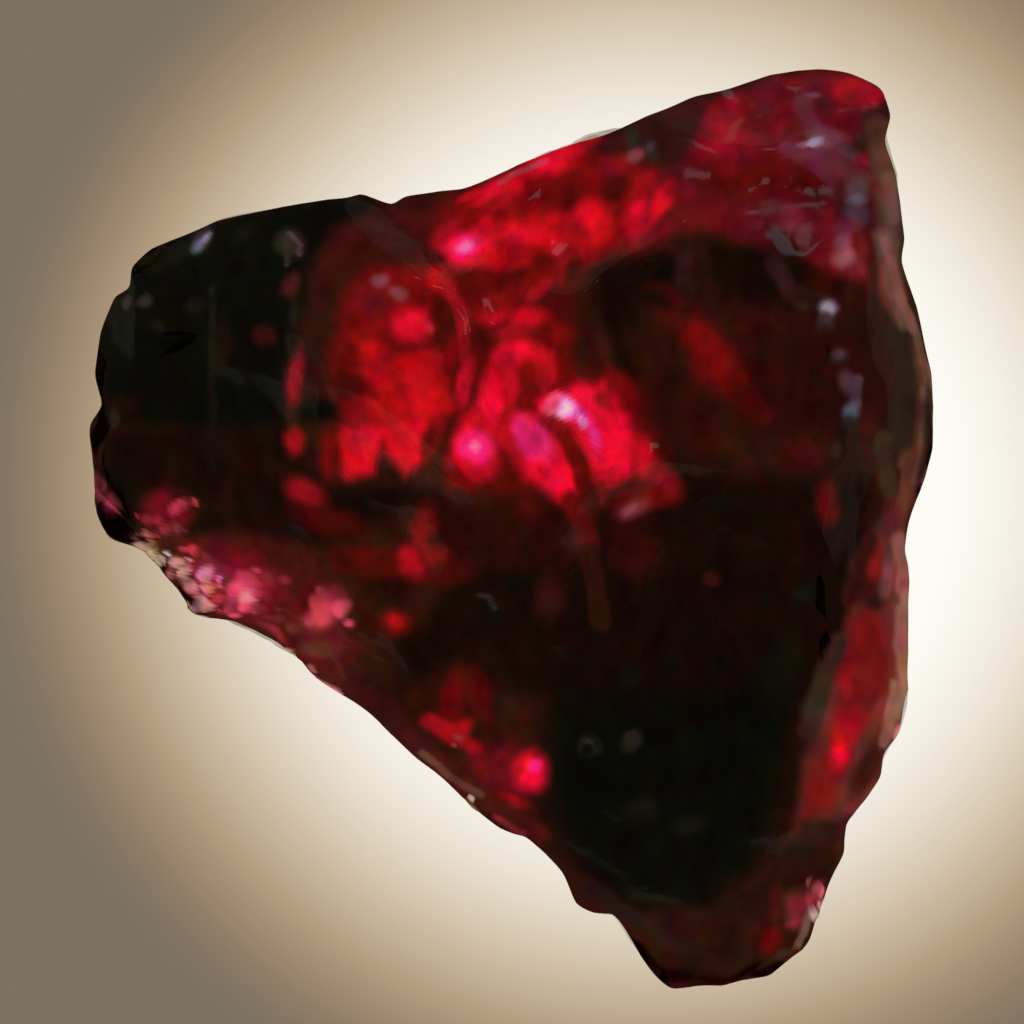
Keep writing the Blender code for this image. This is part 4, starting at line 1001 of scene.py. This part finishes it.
painite = bpy.data.materials.new("painite")
painite.use_nodes = True
painite.node_tree.nodes.clear()
stuff = Socket(painite.node_tree)
place = stuff.node("ShaderNodeTexCoord", {}, {}, "Object")
skin = stuff.node("ShaderNodeAttribute", {"attribute_name": "tint"}, {}, "Color")
rough = stuff.node("ShaderNodeAttribute", {"attribute_name": "frost"}, {}, "Fac")
ripple = stuff.node("ShaderNodeTexNoise", {}, {"Vector": place, "Scale": SKIN_RIPPLES, "Detail": 3.0})
fibres = stuff.node("ShaderNodeVectorMath", {"operation": "MULTIPLY"}, {0: place, 1: FIBRES})
mottle = stuff.node("ShaderNodeTexNoise", {}, {"Vector": fibres, "Scale": 1.0, "Detail": 3.0}, "Color")
uneven = stuff.node("ShaderNodeVectorMath", {"operation": "MULTIPLY_ADD"},
                    {0: mottle, 1: FIBRE_GAIN, 2: FIBRE_FLOOR})
mottled = stuff.node("ShaderNodeMix", {"data_type": "RGBA", "blend_type": "MULTIPLY"},
                     {"Factor": 1.0, "A": skin, "B": uneven}, "Result")
bump = stuff.node("ShaderNodeBump", {}, {
    "Height": ripple, "Strength": SKIN_RIPPLE_SHARE, "Distance": SKIN_RIPPLE_HEIGHT})
glass = stuff.node("ShaderNodeBsdfPrincipled", {}, {
    "Base Color": mottled, "Roughness": rough, "Normal": bump, "IOR": PAINITE_IOR, "Transmission Weight": 1.0,
    "Specular Tint": SKIN_SHINE})
clear = stuff.node("ShaderNodeVolumeAbsorption", {}, {"Color": CLEAR_COLOUR + (1,), "Density": CLEAR_DENSITY})
stuff.node("ShaderNodeOutputMaterial", {}, {"Surface": glass, "Volume": clear})

mesh.materials.append(painite)
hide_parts("painite_crystal")
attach(stone, "root")


# ---------------------------------------------------------------------------------------------------------
# The surface it lies on: a wide, plain, pale sheet, lit softly from below as a light pad is. The glow fades
# from nearly white beside the stone to a warm grey. left ** fall is the share of each colour still there.

FLOOR_SIZE = 2.0
FLOOR_GAP = 0.00002
bpy.ops.mesh.primitive_plane_add(size=FLOOR_SIZE, location=(0, 0, -FLOOR_GAP))
floor = bpy.context.object
floor.name = "floor"
pale = bpy.data.materials.new("pale_floor")
pale.use_nodes = True
pale.node_tree.nodes.clear()
pad = Socket(pale.node_tree)
glow_middle = tuple((GLOW_MIDDLE[axis] - middle[axis]) * MM for axis in (0, 1)) + (0.0,)
run = pad.node("ShaderNodeVectorMath", {"operation": "DISTANCE"},
               {0: pad.node("ShaderNodeTexCoord", {}, {}, "Object"), 1: glow_middle}, "Value")
left = pad.node("ShaderNodeMapRange", {"interpolation_type": "SMOOTHSTEP"}, {
    "Value": run, "From Min": GLOW_REACH[0] * MM, "From Max": GLOW_REACH[1] * MM,
    "To Min": 1.0, "To Max": 0.0})
shares = pad.node("ShaderNodeCombineXYZ", {}, {axis: left ** fall for axis, fall in zip("XYZ", GLOW_FALL)})
fade = pad.node("ShaderNodeVectorMath", {"operation": "MULTIPLY_ADD"},
                {0: shares, 1: GLOW_NEAR - GLOW_FAR, 2: GLOW_FAR})
sheet = pad.node("ShaderNodeBsdfPrincipled", {}, {
    "Base Color": (0, 0, 0, 1), "Specular IOR Level": 0.0, "Emission Color": fade, "Emission Strength": 1.0})
pad.node("ShaderNodeOutputMaterial", {}, {"Surface": sheet})
floor.data.materials.append(pale)


# ---------------------------------------------------------------------------------------------------------
# Soft studio light: pale round the horizon and dim overhead, so that the broken faces hardly mirror it. One
# small cool lamp hangs beyond the far side, for the glints.

HORIZON = (0.02, (0.27, 0.26, 0.24, 1))         # sine of the height above the ground, and the colour there
OVERHEAD = (0.18, (0.04, 0.04, 0.045, 1))
LAMP_SIZE = 0.012
LAMP_POWER = 0.0012
LAMP_COLOUR = (0.75, 0.85, 1.0)
LAMP_PLACE = (0.012, 0.080, 0.048)

world = bpy.data.worlds.new("studio")
bpy.context.scene.world = world
world.use_nodes = True
world.node_tree.nodes.clear()
air = Socket(world.node_tree)
sky = air.node("ShaderNodeTexCoord", {}, {}, "Generated")
height = air.node("ShaderNodeSeparateXYZ", {}, {"Vector": sky}, "Z")
glow = air.node("ShaderNodeValToRGB", {"stops": [HORIZON, OVERHEAD]}, {"Fac": height})
backdrop = air.node("ShaderNodeBackground", {}, {"Color": glow})
air.node("ShaderNodeOutputWorld", {}, {"Surface": backdrop})

lamp_data = bpy.data.lights.new("cool_lamp", "AREA")
lamp_data.size = LAMP_SIZE
lamp_data.energy = LAMP_POWER
lamp_data.color = LAMP_COLOUR
lamp = bpy.data.objects.new("cool_lamp", lamp_data)
lamp.location = LAMP_PLACE
lamp.rotation_euler = lamp.location.to_track_quat("Z", "Y").to_euler()
bpy.context.scene.collection.objects.link(lamp)


# ---------------------------------------------------------------------------------------------------------
# The camera looks straight down from above the middle of the frame, and it draws the stone's edge at 100
# pixels to a millimetre.

CAMERA_HEIGHT = 0.12
PIXELS_A_METRE = 100000
FRAME_PIXELS = 1024
SHARP_HEIGHT = 0.0020           # the stone's edge lies about this high, and is drawn at the true scale
STONE_MIDDLE = (512.5, 528.5)   # where the outline's own centre shows in the frame
SENSOR_WIDTH = 36
LIGHT_BOUNCES = 8

camera_data = bpy.data.cameras.new("camera")
camera_data.sensor_width = SENSOR_WIDTH
camera_data.lens = SENSOR_WIDTH * (CAMERA_HEIGHT - SHARP_HEIGHT) * PIXELS_A_METRE / FRAME_PIXELS
camera_data.clip_start = 0.001
camera = bpy.data.objects.new("camera", camera_data)
half = FRAME_PIXELS / 2
camera.location = ((half - STONE_MIDDLE[0]) / PIXELS_A_METRE - middle[0] * MM,
                   (STONE_MIDDLE[1] - half) / PIXELS_A_METRE - middle[1] * MM, CAMERA_HEIGHT)
bpy.context.scene.collection.objects.link(camera)
bpy.context.scene.camera = camera
bpy.context.scene.view_settings.view_transform = "Standard"
bpy.context.scene.cycles.max_bounces = LIGHT_BOUNCES
bpy.context.scene.cycles.transmission_bounces = LIGHT_BOUNCES
